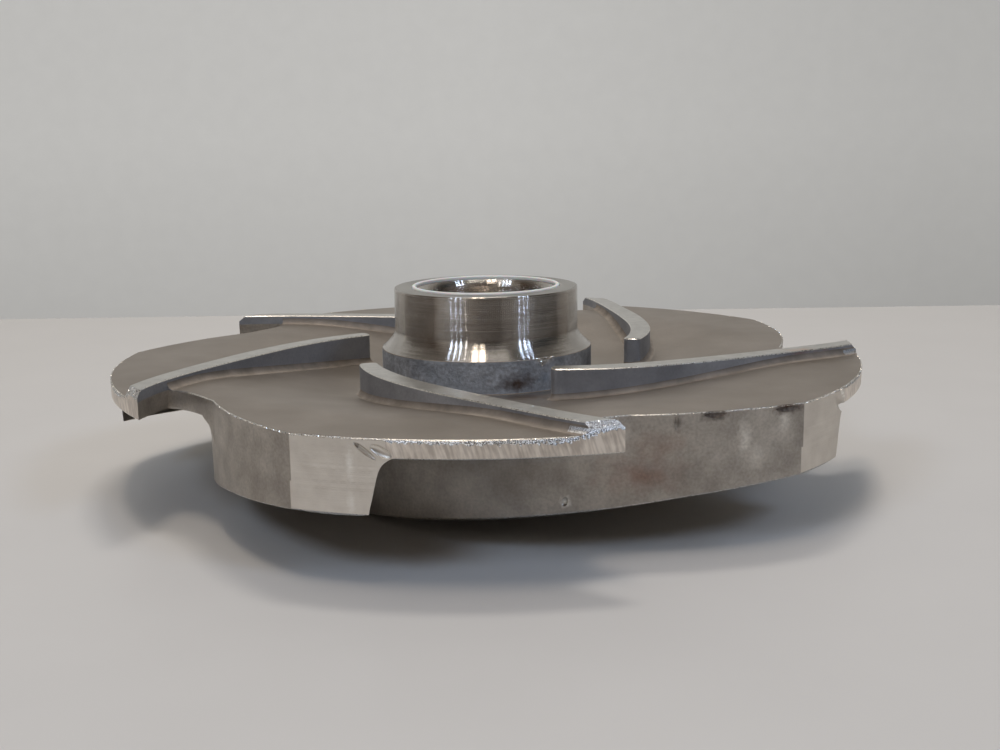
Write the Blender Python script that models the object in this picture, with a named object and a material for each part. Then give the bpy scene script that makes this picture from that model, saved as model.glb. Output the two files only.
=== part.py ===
"""Semi-open pump impeller, lying on the edges of its main vanes with its hub up.

One casting carries the lobed shroud, five main vanes underneath, five low vanes on the
back, the boss, the turned hub and a blind bore. A thin white seal ring sits in a rebate
in the hub's end face. The shaft axis is Z and the floor is Z = 0. Angles run from +X
towards +Y, and the vanes sweep that way as they run outwards.
"""
import math

import bmesh
import bpy
from mathutils import Vector

# Driving dimensions, in metres unless the name says degrees

VANE_COUNT = 5
OUTER_RADIUS = 0.125
RIM_FACE_Z = 0.039
RIM_THICKNESS = 0.0052

# Hub, flare and boss
HUB_RADIUS = 0.0317
HUB_TOP_Z = 0.063
HUB_CHAMFER = 0.0006
HUB_FOOT_Z = 0.0486
FLARE_RADIUS = 0.0357
FLARE_EDGE_Z = 0.0426
FLARE_END_DEG = 75.0
BOSS_RADIUS = 0.0363
BOSS_STEP = 0.0005
BOSS_FILLET = 0.0045
BOSS_FILLET_END_DEG = 262.0

# Shroud: the back face is dished between these two radii
DISH_DEPTH = 0.0074
DISH_INNER_RADIUS = 0.040
DISH_OUTER_RADIUS = 0.104
THICKENING_TO_AXIS = 0.0040

# Bore and seal
SEAL_OUTER_RADIUS = 0.0253
SEAL_INNER_RADIUS = 0.0239
SEAL_DEPTH = 0.0020
FIT_GAP = 0.0003
PILOT_RADIUS = 0.0235
PILOT_FLOOR_Z = 0.049
THREAD_RADIUS = 0.0150
THREAD_CHAMFER = 0.0015
THREAD_FLOOR_Z = 0.022
THREAD_CONE_Z = 0.017

# Main vanes: the outer wall is a spiral that meets the rim at the start angle
MAIN_START_DEG = 245.7
MAIN_SHIFTS_DEG = (0.0, -2.8, 2.0, 0.0, 0.0)
MAIN_WRAP_DEG = 138.0
MAIN_OVERRUN_DEG = 16.0
MAIN_SPIRAL = 0.345
MAIN_SPIRAL_GROWTH = 0.06
MAIN_THICKNESS_BY_DEG = ((0.0, 0.0071), (60.0, 0.0080), (138.0, 0.0060))
MAIN_INTO_SHROUD = 0.002

# Front face that the lathe leaves on the main vanes: radius and height
FRONT_PROFILE = ((0.125, 0.0186), (0.112, 0.0154), (0.069, 0.0))

# Back vanes: the centre line's angle is a cubic in the share of the sweep
BACK_VANE_HEIGHT = 0.0033
BACK_SWEEP_DEG = (192.1, 226.2, -217.8, 84.3)
BACK_SWEEP_FROM = 0.03795
BACK_SWEEP_SPAN = 0.08434
BACK_TIP_EASE_DEG = (-2.0, -2.0, -2.0, -1.6, -0.2)
BACK_TIP_EASE_FROM = 0.095
BACK_START_RADIUS = 0.0517
BACK_HALF_WIDTHS = ((0.050, 0.0029), (0.060, 0.0035), (0.080, 0.0039), (0.125, 0.0029))
BACK_END_FLATNESS = 0.85
BACK_END_SQUARENESS = 0.75
BACK_FILLETS = ((0.050, 0.0045), (0.125, 0.0026))
BACK_INTO_SHROUD = 0.0025
FILLET_MIDDLE = 0.29
FILLET_REACH = 1.3
FILLET_DIP = 0.12

# Rim notches, on the hollow side of each back vane's tip
NOTCH_CORNER_RADIUS = 0.1135
NOTCH_CORNER_EASE = 0.004
NOTCH_FLOOR_DEG = 24.0
NOTCH_FLOOR_SAG = 0.0006
NOTCH_FLOOR_SHARES = (0.12, 0.3, 0.5, 0.75)
NOTCH_OVERRUN_DEG = 4.0

# Nose on the suction side
NOSE_RADIUS = 0.0215
NOSE_TIP_Z = 0.006
NOSE_FILLET = 0.008
NOSE_DOME = 0.009

# Fineness of the facets, and how far helpers reach past the finished part
TURNED_STEPS = 60
OVERSIZE = 0.003

CAST_STEEL = ((0.27, 0.255, 0.24, 1.0), 0.5, 0.95)
SEAL_WHITE = ((0.86, 0.86, 0.84, 1.0), 0.45, 0.0)


def clear_scene():
    for item in list(bpy.data.objects):
        bpy.data.objects.remove(item, do_unlink=True)


def make_material(name, look):
    colour, roughness, metallic = look
    material = bpy.data.materials.new(name)
    material.use_nodes = True
    shader = material.node_tree.nodes["Principled BSDF"]
    shader.inputs["Base Color"].default_value = colour
    shader.inputs["Roughness"].default_value = roughness
    shader.inputs["Metallic"].default_value = metallic
    return material


def add_object(name, source):
    """Link a new object made from a bmesh, with its faces pointing out."""
    bmesh.ops.recalc_face_normals(source, faces=source.faces)
    mesh = bpy.data.meshes.new(name)
    source.to_mesh(mesh)
    source.free()
    item = bpy.data.objects.new(name, mesh)
    bpy.context.scene.collection.objects.link(item)
    return item


def shade_round(item, sharp_deg=35.0):
    item.data.shade_smooth()
    item.data.set_sharp_from_angle(angle=math.radians(sharp_deg))


def as_helper(item):
    item.hide_render = True
    item.display_type = "WIRE"
    return item


def combine(target, operation, helper):
    """Add a Boolean. EXACT loses this casting's overlapping spiral vanes."""
    modifier = target.modifiers.new(f"{operation.lower()} {helper.name}", "BOOLEAN")
    modifier.operation = operation
    modifier.solver = "MANIFOLD"
    modifier.object = helper


# Small geometry helpers


def polar(radius, angle):
    return Vector((radius * math.cos(angle), radius * math.sin(angle)))


def angle_of(point):
    return math.atan2(point.y, point.x)


def turned_by(point, turn):
    return polar(point.length, angle_of(point) + turn)


def left_of(direction):
    return Vector((-direction.y, direction.x))


def spread_evenly(start, end, steps):
    return [start + (end - start) * index / steps for index in range(steps + 1)]


def blend(table, value):
    """Read a short table of (position, value) rows by straight lines."""
    for (x0, y0), (x1, y1) in zip(table, table[1:]):
        if value <= x1:
            share = max(0.0, (value - x0) / (x1 - x0))
            return y0 + (y1 - y0) * share
    return table[-1][1]


def arc(centre, radius, start_deg, end_deg, steps):
    """Points of an arc in the (radius, z) plane."""
    points = []
    for degrees in spread_evenly(start_deg, end_deg, steps):
        angle = math.radians(degrees)
        x = centre[0] + radius * math.cos(angle)
        points.append((x, centre[1] + radius * math.sin(angle)))
    return points


def back_face_z(radius):
    """The shroud's back face: level near the rim, dished towards the boss."""
    share = (radius - DISH_INNER_RADIUS) / (DISH_OUTER_RADIUS - DISH_INNER_RADIUS)
    share = min(1.0, max(0.0, share))
    return RIM_FACE_Z - DISH_DEPTH * (1.0 - share * share * (3.0 - 2.0 * share))


def front_face_z(radius):
    """The shroud's underside, a little thicker towards the middle."""
    share = 1.0 - radius / OUTER_RADIUS
    return back_face_z(radius) - RIM_THICKNESS - THICKENING_TO_AXIS * share


def spun(name, profile, closed=False):
    """Spin (radius, z) points about the shaft axis: axis to axis, or a closed ring."""
    work = bmesh.new()
    points = [work.verts.new((radius, 0.0, z)) for radius, z in profile]
    edges = [work.edges.new(pair) for pair in zip(points, points[1:])]
    if closed:
        edges.append(work.edges.new((points[-1], points[0])))
    bmesh.ops.spin(
        work,
        geom=points + edges,
        cent=(0.0, 0.0, 0.0),
        axis=(0.0, 0.0, 1.0),
        angle=math.tau,
        steps=TURNED_STEPS,
        use_merge=True,
    )
    bmesh.ops.remove_doubles(work, verts=work.verts, dist=1e-6)
    return add_object(name, work)


def lofted(name, rings):
    """Join closed rings of equal length from bottom to top and close both ends."""
    work = bmesh.new()
    loops = [[work.verts.new(point) for point in ring] for ring in rings]
    for low, high in zip(loops, loops[1:]):
        for index, corner in enumerate(low):
            after = (index + 1) % len(low)
            work.faces.new((corner, low[after], high[after], high[index]))
    work.faces.new(reversed(loops[0]))
    work.faces.new(loops[-1])
    bmesh.ops.triangulate(work, faces=work.faces)
    return add_object(name, work)


# Back vanes


def back_vane_angle(radius, ease_deg):
    share = (radius - BACK_SWEEP_FROM) / BACK_SWEEP_SPAN
    c0, c1, c2, c3 = BACK_SWEEP_DEG
    past = (radius - BACK_TIP_EASE_FROM) / (OUTER_RADIUS - BACK_TIP_EASE_FROM)
    ease = ease_deg * max(0.0, past) ** 2
    return math.radians(c0 + c1 * share + c2 * share**2 + c3 * share**3 + ease)


def back_vane_frame(radius, ease_deg):
    """Centre line point, outward tangent and the normal towards the hollow side."""
    here = polar(radius, back_vane_angle(radius, ease_deg))
    ahead = radius + OVERSIZE / 100
    tangent = (polar(ahead, back_vane_angle(ahead, ease_deg)) - here).normalized()
    return here, tangent, left_of(tangent)


def back_vane_side(radius, side, offset, ease_deg):
    here, _, normal = back_vane_frame(radius, ease_deg)
    return here + normal * side * (blend(BACK_HALF_WIDTHS, radius) + offset)


def back_vane_outline(spread, ease_deg):
    """Outline with its sides moved out by spread(radius), from the outer end round."""
    radii = spread_evenly(BACK_START_RADIUS, OUTER_RADIUS + OVERSIZE, 12)
    outer = [back_vane_side(r, -1.0, spread(r), ease_deg) for r in reversed(radii)]
    inner = [back_vane_side(r, 1.0, spread(r), ease_deg) for r in radii]
    here, tangent, normal = back_vane_frame(BACK_START_RADIUS, ease_deg)
    reach = blend(BACK_HALF_WIDTHS, BACK_START_RADIUS) + spread(BACK_START_RADIUS)
    end = []
    for angle in spread_evenly(0.0, math.pi, 8)[1:-1]:
        across = math.copysign(abs(math.cos(angle)) ** BACK_END_SQUARENESS, math.cos(angle))
        along = math.sin(angle) ** BACK_END_SQUARENESS * BACK_END_FLATNESS
        end.append(here - tangent * reach * along - normal * reach * across)
    return outer + end + inner


def back_vane(index):
    """A low vane with a fillet along its feet that follows the dished back face."""

    def fillet(radius):
        return blend(BACK_FILLETS, radius)

    def foot(radius):
        return FILLET_REACH * fillet(radius)

    def middle(radius):
        return FILLET_MIDDLE * fillet(radius)

    levels = (
        (foot, lambda r: back_face_z(r) - BACK_INTO_SHROUD),
        (foot, lambda r: back_face_z(r) - FILLET_DIP * fillet(r)),
        (middle, lambda r: back_face_z(r) + middle(r)),
        (lambda r: 0.0, lambda r: back_face_z(r) + fillet(r)),
        (lambda r: 0.0, lambda r: RIM_FACE_Z + BACK_VANE_HEIGHT),
    )
    turn = math.tau * index / VANE_COUNT
    rings = []
    for spread, height in levels:
        outline = back_vane_outline(spread, BACK_TIP_EASE_DEG[index])
        rings.append([(*turned_by(point, turn), height(point.length)) for point in outline])
    return as_helper(lofted(f"back_vane_{index + 1}", rings))


# Main vanes


def spiral_point(back_turn, turn):
    """Point of the outer wall, at an angle in radians behind where it meets the rim."""
    shrink = MAIN_SPIRAL * back_turn + MAIN_SPIRAL_GROWTH * back_turn**2
    angle = math.radians(MAIN_START_DEG) - back_turn + turn
    return polar(OUTER_RADIUS * math.exp(-shrink), angle)


def main_vane_turn(index):
    return math.tau * index / VANE_COUNT + math.radians(MAIN_SHIFTS_DEG[index])


def main_vane(index):
    """A thick spiral vane, longer and deeper than the finished one."""
    turn = main_vane_turn(index)
    outer = []
    inner = []
    for degrees in spread_evenly(-MAIN_OVERRUN_DEG, MAIN_WRAP_DEG, 20):
        back_turn = math.radians(degrees)
        here = spiral_point(back_turn, turn)
        tangent = (spiral_point(back_turn - 1e-4, turn) - here).normalized()
        outer.append(here - left_of(tangent) * FIT_GAP)
        inner.append(here + left_of(tangent) * blend(MAIN_THICKNESS_BY_DEG, degrees))
    middle = (outer[-1] + inner[-1]) / 2.0
    half = (inner[-1] - outer[-1]) / 2.0
    nose = []
    for angle in spread_evenly(0.0, math.pi, 6)[1:-1]:
        along = tangent * half.length * math.sin(angle)
        nose.append(middle - half * math.cos(angle) - along)
    outline = outer + nose + list(reversed(inner))
    depth = OVERSIZE * (1.0 + index / VANE_COUNT)
    bottom = [(*point, -depth) for point in outline]
    top = [(*point, front_face_z(point.length) + MAIN_INTO_SHROUD) for point in outline]
    return as_helper(lofted(f"main_vane_{index + 1}", (bottom, top)))


# Lobed outline


def lobe_edge(index):
    """One lobe's edge: the main vane's wall, past the rim, then back along the notch."""
    turn = math.tau * index / VANE_COUNT
    reach = OUTER_RADIUS + OVERSIZE
    edge = []
    for degrees in spread_evenly(NOTCH_FLOOR_DEG, -NOTCH_OVERRUN_DEG, 8):
        edge.append(spiral_point(math.radians(degrees), main_vane_turn(index)))
    hollow_side = []
    for radius in spread_evenly(reach, NOTCH_CORNER_RADIUS, 4):
        side = back_vane_side(radius, 1.0, -FIT_GAP / 2, BACK_TIP_EASE_DEG[index])
        hollow_side.append(turned_by(side, turn))
    span = (angle_of(hollow_side[0]) - angle_of(edge[-1])) % math.tau
    start = angle_of(edge[-1])
    edge += [polar(reach + OVERSIZE, start + span * share) for share in (0.25, 0.5, 0.75)]
    return edge + hollow_side


def notch_floor(before, after):
    """The notch's floor between two lobes' edges, with a rounded corner at the tip."""
    corner_angle = angle_of(before)
    sweep = (angle_of(after) - corner_angle) % math.tau
    floor = []
    for share in NOTCH_FLOOR_SHARES:
        sag = NOTCH_FLOOR_SAG * math.sin(math.pi * share)
        ease = NOTCH_CORNER_EASE * (1.0 - (1.0 - share) ** 4)
        start_radius = before.length - ease
        radius = start_radius + (after.length - start_radius) * share - sag
        floor.append(polar(radius, corner_angle + sweep * share))
    return floor


def lobe_block():
    """Upright block with the five lobes' plan outline, past the rim where it is turned."""
    edges = [lobe_edge(index) for index in range(VANE_COUNT)]
    outline = []
    for edge, following in zip(edges, edges[1:] + edges[:1]):
        outline += edge + notch_floor(edge[-1], following[0])
    bottom = [(*point, -3 * OVERSIZE) for point in outline]
    top = [(*point, HUB_TOP_Z + OVERSIZE) for point in outline]
    return as_helper(lofted("lobe_block", (bottom, top)))


# Turned pieces


def flare_profile():
    """Hollow curve from the hub's side out to the flare's edge."""
    end = math.radians(FLARE_END_DEG)
    points = []
    for share in spread_evenly(0.0, 1.0, 4):
        bend = (1.0 - math.cos(share * end)) / (1.0 - math.cos(end))
        radius = HUB_RADIUS + (FLARE_RADIUS - HUB_RADIUS) * bend
        points.append((radius, HUB_FOOT_Z + (FLARE_EDGE_Z - HUB_FOOT_Z) * share))
    return points


def body_profile():
    """Hub, boss, dished back face, rim, underside and nose, from the top round."""
    profile = [(0.0, HUB_TOP_Z), (HUB_RADIUS - HUB_CHAMFER, HUB_TOP_Z)]
    profile += [(HUB_RADIUS, HUB_TOP_Z - HUB_CHAMFER)]
    profile += flare_profile()
    profile += [(BOSS_RADIUS, FLARE_EDGE_Z - BOSS_STEP)]
    fillet_x = BOSS_RADIUS + BOSS_FILLET
    fillet_z = back_face_z(BOSS_RADIUS) + BOSS_FILLET
    profile += arc((fillet_x, fillet_z), BOSS_FILLET, 180.0, BOSS_FILLET_END_DEG, 3)
    rim = OUTER_RADIUS + OVERSIZE
    back_radii = spread_evenly(fillet_x + OVERSIZE, DISH_OUTER_RADIUS, 9)
    profile += [(radius, back_face_z(radius)) for radius in back_radii + [rim]]
    nose_x = NOSE_RADIUS + NOSE_FILLET
    front_radii = spread_evenly(DISH_OUTER_RADIUS, nose_x + OVERSIZE, 7)
    profile += [(radius, front_face_z(radius)) for radius in [rim] + front_radii]
    nose_z = front_face_z(NOSE_RADIUS) - NOSE_FILLET
    profile += arc((nose_x, nose_z), NOSE_FILLET, 95.0, 180.0, 3)
    dome_centre = (NOSE_RADIUS - NOSE_DOME, NOSE_TIP_Z + NOSE_DOME)
    profile += arc(dome_centre, NOSE_DOME, 0.0, -90.0, 4)
    return profile + [(0.0, NOSE_TIP_Z)]


def machining_envelope():
    """What the lathe leaves: the rim's cylinder, the front profile and the flat rest."""
    top = HUB_TOP_Z + 2 * OVERSIZE
    profile = [(0.0, top), (OUTER_RADIUS, top), *FRONT_PROFILE, (0.0, 0.0)]
    return as_helper(spun("machining_envelope", profile))


def bore_cutter():
    """Seal rebate, pilot bore, threaded bore and its drill point."""
    top = HUB_TOP_Z + OVERSIZE
    seat = HUB_TOP_Z - SEAL_DEPTH
    profile = [
        (0.0, top),
        (SEAL_OUTER_RADIUS, top),
        (SEAL_OUTER_RADIUS, seat),
        (PILOT_RADIUS, seat),
        (PILOT_RADIUS, PILOT_FLOOR_Z),
        (THREAD_RADIUS + THREAD_CHAMFER, PILOT_FLOOR_Z),
        (THREAD_RADIUS, PILOT_FLOOR_Z - THREAD_CHAMFER),
        (THREAD_RADIUS, THREAD_FLOOR_Z),
        (0.0, THREAD_CONE_Z),
    ]
    return as_helper(spun("bore_cutter", profile))


def build_casting(material):
    casting = spun("impeller_casting", body_profile())
    for index in range(VANE_COUNT):
        combine(casting, "UNION", main_vane(index))
        combine(casting, "UNION", back_vane(index))
    combine(casting, "INTERSECT", lobe_block())
    combine(casting, "INTERSECT", machining_envelope())
    combine(casting, "DIFFERENCE", bore_cutter())
    casting.data.materials.append(material)
    shade_round(casting)


def build_seal_ring(material):
    """White ring in the hub's rebate, a fit gap clear of it and flush with the face."""
    outer = SEAL_OUTER_RADIUS - FIT_GAP
    low = HUB_TOP_Z - SEAL_DEPTH + FIT_GAP
    corners = (
        (outer, HUB_TOP_Z),
        (outer, low),
        (SEAL_INNER_RADIUS, low),
        (SEAL_INNER_RADIUS, HUB_TOP_Z),
    )
    ring = spun("seal_ring", corners, closed=True)
    ring.data.materials.append(material)
    shade_round(ring)


def main():
    clear_scene()
    build_casting(make_material("cast_stainless", CAST_STEEL))
    build_seal_ring(make_material("white_seal", SEAL_WHITE))


main()
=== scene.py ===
"""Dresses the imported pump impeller: a smooth casting, its seal ring, thread, burrs and stage.

The shaft axis is Z, the floor is Z = 0 and all lengths are metres. Angles run from +X
towards +Y. The impeller lies on the edges of its main vanes with the hub up.
"""
import math
from functools import partial

import bmesh
import bpy
from bpy.props import FloatProperty, FloatVectorProperty, IntProperty, PointerProperty
from mathutils import Matrix, Vector


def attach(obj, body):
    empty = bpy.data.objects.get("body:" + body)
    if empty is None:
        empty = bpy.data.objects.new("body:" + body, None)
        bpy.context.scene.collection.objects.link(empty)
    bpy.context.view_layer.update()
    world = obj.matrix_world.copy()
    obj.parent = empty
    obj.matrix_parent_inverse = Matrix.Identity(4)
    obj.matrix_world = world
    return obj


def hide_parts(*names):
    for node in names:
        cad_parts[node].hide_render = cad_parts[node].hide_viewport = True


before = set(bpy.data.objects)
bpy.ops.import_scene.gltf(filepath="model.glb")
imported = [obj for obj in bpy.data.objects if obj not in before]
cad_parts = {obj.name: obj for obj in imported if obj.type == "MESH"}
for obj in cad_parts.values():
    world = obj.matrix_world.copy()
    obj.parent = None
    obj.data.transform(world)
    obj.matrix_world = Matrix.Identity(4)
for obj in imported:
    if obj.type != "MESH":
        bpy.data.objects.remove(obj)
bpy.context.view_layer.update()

bl_info = {
    "name": "Pump impeller",
    "version": (1, 0, 0),
    "blender": (4, 5, 0),
    "location": "3D View > Sidebar > Impeller",
    "description": "Builds the dressed pump impeller round its packed frame",
    "category": "Object",
}

# Sizes, most of them the solid model's own

VANE_COUNT = 5
OUTER_RADIUS = 0.1247
RIM_FACE_Z = 0.039
RIM_THICKNESS = 0.0052
HUB_RADIUS = 0.0313
HUB_TOP_Z = 0.063
HUB_FACE_Z = 0.0624
HUB_FOOT_Z = 0.0486
FLARE_RADIUS = 0.0353
FLARE_EDGE_Z = 0.0426
FLARE_BEND_DEG = 75.0
BOSS_RADIUS = 0.0359
BOSS_CORNER = 0.0004
BOSS_FILLET = 0.0004
DISH_DEPTH = 0.0074
DISH_INNER_RADIUS = 0.040
DISH_OUTER_RADIUS = 0.104
THICKENING_TO_AXIS = 0.0040
SEAL_OUTER_RADIUS = 0.0253
SEAL_INNER_RADIUS = 0.0239
SEAL_DEPTH = 0.0013
SEAL_CROWN = 0.0006
FIT_GAP = 0.0001
PILOT_RADIUS = 0.0226
MOUTH_ROUNDING = 0.0035
MOUTH_DEG = 48.0
PILOT_FLOOR_Z = 0.049
THREAD_RADIUS = 0.0150
THREAD_CHAMFER = 0.0015
THREAD_FLOOR_Z = 0.022
THREAD_CONE_Z = 0.017
MAIN_START_DEG = 245.7
MAIN_SHIFTS_DEG = (0.0, -2.8, 2.0, 0.0, 0.0)
MAIN_WRAP_DEG = 138.0
MAIN_SPIRAL = 0.345
MAIN_SPIRAL_GROWTH = 0.06
MAIN_OVERRUN_DEG = 18.0
MAIN_THICKEST_DEG = 60.0
MAIN_END_TAPER_DEG = 6.0
MAIN_STATIONS = 120
MAIN_END_FULLNESS = 0.08
MAIN_INNER_SPREAD = 0.00114
MAIN_INNER_DRAFT = 0.075
MAIN_FILLET_WIDTH = 0.00096
MAIN_FILLET_FALL = 0.00142
MAIN_FILLET_DEPTHS = (0.0, 0.0003, 0.0007, 0.0012, 0.0018, 0.0026, 0.0037, 0.0052, 0.0075, 0.0105)
FRONT_PROFILE = ((0.125, 0.0186), (0.112, 0.0154), (0.069, 0.0))
BACK_VANE_TOP_Z = 0.0423
BACK_SWEEP_DEG = (192.1, 226.2, -217.8, 84.3)
BACK_SWEEP_FROM = 0.03795
BACK_SWEEP_SPAN = 0.08434
BACK_TIP_EASE_DEG = (-2.0, -2.0, -2.0, -1.2, -0.2)
BACK_TIP_EASE_FROM = 0.095
BACK_START_RADIUS = 0.0517
BACK_HALF_WIDTHS = ((0.050, 0.0029), (0.060, 0.0035), (0.080, 0.0039), (0.125, 0.0029))
BACK_END_FLATNESS = 0.85
BACK_END_SQUARENESS = 0.75
BACK_INNER_FILLET = 0.0020
BACK_OUTER_FILLET = 0.0024
BACK_FILLET_FROM = 0.050
VANE_END_DEG = 12.4
TIP_BREAK_SLOPE = 1.1
NOTCH_CORNER_RADIUS = 0.1135
NOTCH_CORNER_EASE = 0.004
NOTCH_FLOOR_DEG = (24.0, 24.0, 31.0, 24.0, 24.0)
NOTCH_FLOOR_SAG = 0.0006
NOSE_RADIUS = 0.0215
NOSE_TIP_Z = 0.006
NOSE_FILLET = 0.008
NOSE_DOME = 0.009
FINE_CORNER = 0.0002
BORE_CORNER = 0.0003
PLAIN_CORNER = 0.0005
FLOOR_CORNER = 0.0010

# How far helpers reach past the rim, the top and the floor, and how fine a turned face is
BODY_OVERSIZE = 0.001
VANE_OVERSIZE = 0.006
LOBE_BULGE = 0.004
LOBE_OVERRUN_DEG = 8.0
BLOCK_OVERSIZE = 0.02
ENVELOPE_OVERSIZE = 0.01
TURNED_STEPS = 300
# Points closer than this are one point, and a tangent is taken over such a step
MERGE_DISTANCE = 1e-6
TANGENT_STEP = 1e-5
# How much of a straight side a rounded corner may take, and how many points of a notch's floor
# its edge's break grows over
CORNER_SHARE = 0.49
BREAK_GROWTH = 5.0
# How far out from the boss's and the nose's fillets the shroud's faces start
BOSS_CLEARANCE = 0.001
NOSE_CLEARANCE = 0.002


# User settings


def linear(hex_colour):
    """An sRGB hex colour as linear red, green, blue and alpha."""
    values = []
    for start in (1, 3, 5):
        share = int(hex_colour[start:start + 2], 16) / 255.0
        values.append(share / 12.92 if share <= 0.04045 else ((share + 0.055) / 1.055) ** 2.4)
    return (*values, 1.0)


# What every length and every colour of the settings shares
LENGTH = {"unit": "LENGTH", "precision": 5}
COLOUR = {"subtype": "COLOR", "size": 3}


class ImpellerSizes(bpy.types.PropertyGroup):
    """Sizes of the edges and of the repeated pieces."""

    edge_break: FloatProperty(
        name="Edge break",
        description="Width of the small chamfers that the machining leaves",
        default=0.0003,
        **LENGTH,
    )
    tip_break: FloatProperty(
        name="Tip break",
        description="How far the top outer corners of the back vanes are knocked off",
        default=0.0018,
        **LENGTH,
    )
    tip_thickness: FloatProperty(
        name="Main vane tip",
        description="Thickness of a main vane at the rim",
        default=0.0071,
        **LENGTH,
    )
    middle_thickness: FloatProperty(
        name="Main vane middle",
        description="Thickness of a main vane half way in",
        default=0.0080,
        **LENGTH,
    )
    nose_thickness: FloatProperty(
        name="Main vane inner end",
        description="Thickness of a main vane at its inner end",
        default=0.0060,
        **LENGTH,
    )
    thread_pitch: FloatProperty(
        name="Thread pitch",
        description="Pitch of the thread in the blind bore",
        default=0.0020,
        **LENGTH,
    )
    burr_spacing: FloatProperty(
        name="Burr spacing",
        description="Distance between the burrs along the rim's edge",
        default=0.0003,
        **LENGTH,
    )
    seed: IntProperty(
        name="Seed",
        description="Fixed seed of everything scattered",
        default=7,
        min=0,
    )


class ImpellerColours(bpy.types.PropertyGroup):
    """Colours that a user would change."""

    seal: FloatVectorProperty(
        name="Seal ring",
        description="Colour of the white seal ring",
        default=linear("#EDECE8")[:3],
        **COLOUR,
    )
    table: FloatVectorProperty(
        name="Table",
        description="Colour of the pale table",
        default=linear("#CFCCC8")[:3],
        **COLOUR,
    )
    wall: FloatVectorProperty(
        name="Wall",
        description="Colour of the plain wall behind",
        default=linear("#BFBFBD")[:3],
        **COLOUR,
    )


# Plain geometry


def polar(radius, angle):
    return Vector((radius * math.cos(angle), radius * math.sin(angle)))


def angle_of(point):
    return math.atan2(point.y, point.x)


def turned_by(point, turn):
    return polar(point.length, angle_of(point) + turn)


def left_of(direction):
    return Vector((-direction.y, direction.x))


def spread_evenly(start, end, steps):
    return [start + (end - start) * index / steps for index in range(steps + 1)]


def axes_at(axes, place):
    """A matrix with three axes as its columns, at a place."""
    matrix = Matrix(axes).transposed().to_4x4()
    matrix.translation = place
    return matrix


def blend(table, value):
    """Read a short table of (position, value) rows by straight lines."""
    for (x0, y0), (x1, y1) in zip(table, table[1:]):
        if value <= x1:
            share = max(0.0, (value - x0) / (x1 - x0))
            return y0 + (y1 - y0) * share
    return table[-1][1]


def rounded(corners, arc_step_deg=15.0):
    """Turn (x, y, radius) corners into a line of points with its corners rounded."""
    points = []
    last = len(corners) - 1
    for index, (x, y, radius) in enumerate(corners):
        here = Vector((x, y))
        if radius <= 0.0 or index in (0, last):
            points.append(here)
            continue
        back = Vector(corners[index - 1][:2]) - here
        ahead = Vector(corners[index + 1][:2]) - here
        turn = math.pi - back.angle(ahead)
        room = CORNER_SHARE * min(back.length, ahead.length)
        reach = min(radius * math.tan(turn / 2.0), room)
        radius = reach / math.tan(turn / 2.0)
        start = here + back.normalized() * reach
        inward = (back.normalized() + ahead.normalized()).normalized()
        centre = here + inward * math.hypot(reach, radius)
        steps = max(2, math.ceil(math.degrees(turn) / arc_step_deg))
        spoke = start - centre
        sign = 1.0 if back.x * ahead.y - back.y * ahead.x < 0.0 else -1.0
        for share in spread_evenly(0.0, 1.0, steps):
            angle = sign * turn * share
            cos, sin = math.cos(angle), math.sin(angle)
            turned = Vector((spoke.x * cos - spoke.y * sin, spoke.x * sin + spoke.y * cos))
            points.append(centre + turned)
    return points


def back_face_z(radius):
    """The shroud's back face: level near the rim, dished towards the boss."""
    share = (radius - DISH_INNER_RADIUS) / (DISH_OUTER_RADIUS - DISH_INNER_RADIUS)
    share = min(1.0, max(0.0, share))
    return RIM_FACE_Z - DISH_DEPTH * (1.0 - share * share * (3.0 - 2.0 * share))


def front_face_z(radius):
    """The shroud's underside, a little thicker towards the middle."""
    share = 1.0 - radius / OUTER_RADIUS
    return back_face_z(radius) - RIM_THICKNESS - THICKENING_TO_AXIS * share


# Mesh tools


def link(name, data):
    """Put new data in the scene as an object."""
    item = bpy.data.objects.new(name, data)
    bpy.context.scene.collection.objects.link(item)
    return item


def mesh_object(name, work):
    mesh = bpy.data.meshes.new(name)
    work.to_mesh(mesh)
    work.free()
    return link(name, mesh)


def remove_object(item):
    mesh = item.data
    bpy.data.objects.remove(item, do_unlink=True)
    bpy.data.meshes.remove(mesh)


def evaluated_mesh(item):
    """The plain mesh that an object's modifiers give."""
    bpy.context.view_layer.update()
    graph = bpy.context.evaluated_depsgraph_get()
    return bpy.data.meshes.new_from_object(item.evaluated_get(graph), depsgraph=graph)


def apply_modifiers(item):
    """Keep what the modifiers give as a plain mesh and take them off."""
    mesh = evaluated_mesh(item)
    old = item.data
    item.modifiers.clear()
    item.data = mesh
    bpy.data.meshes.remove(old)


def close_and_turn_out(item):
    """Merge doubles, fill open ends and make the faces point outwards."""
    work = bmesh.new()
    work.from_mesh(item.data)
    bmesh.ops.remove_doubles(work, verts=work.verts, dist=MERGE_DISTANCE)
    open_edges = [edge for edge in work.edges if edge.is_boundary]
    bmesh.ops.holes_fill(work, edges=open_edges, sides=0)
    bmesh.ops.triangulate(work, faces=work.faces)
    bmesh.ops.recalc_face_normals(work, faces=work.faces)
    work.to_mesh(item.data)
    work.free()


def spun(name, profile, closed=False):
    """Spin (radius, z) points about the shaft axis."""
    work = bmesh.new()
    points = [work.verts.new((point[0], 0.0, point[1])) for point in profile]
    edges = [work.edges.new(pair) for pair in zip(points, points[1:])]
    if closed:
        edges.append(work.edges.new((points[-1], points[0])))
    bmesh.ops.spin(
        work,
        geom=points + edges,
        cent=(0.0, 0.0, 0.0),
        axis=(0.0, 0.0, 1.0),
        angle=math.tau,
        steps=TURNED_STEPS,
        use_merge=True,
    )
    bmesh.ops.remove_doubles(work, verts=work.verts, dist=MERGE_DISTANCE)
    bmesh.ops.recalc_face_normals(work, faces=work.faces)
    return mesh_object(name, work)


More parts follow.
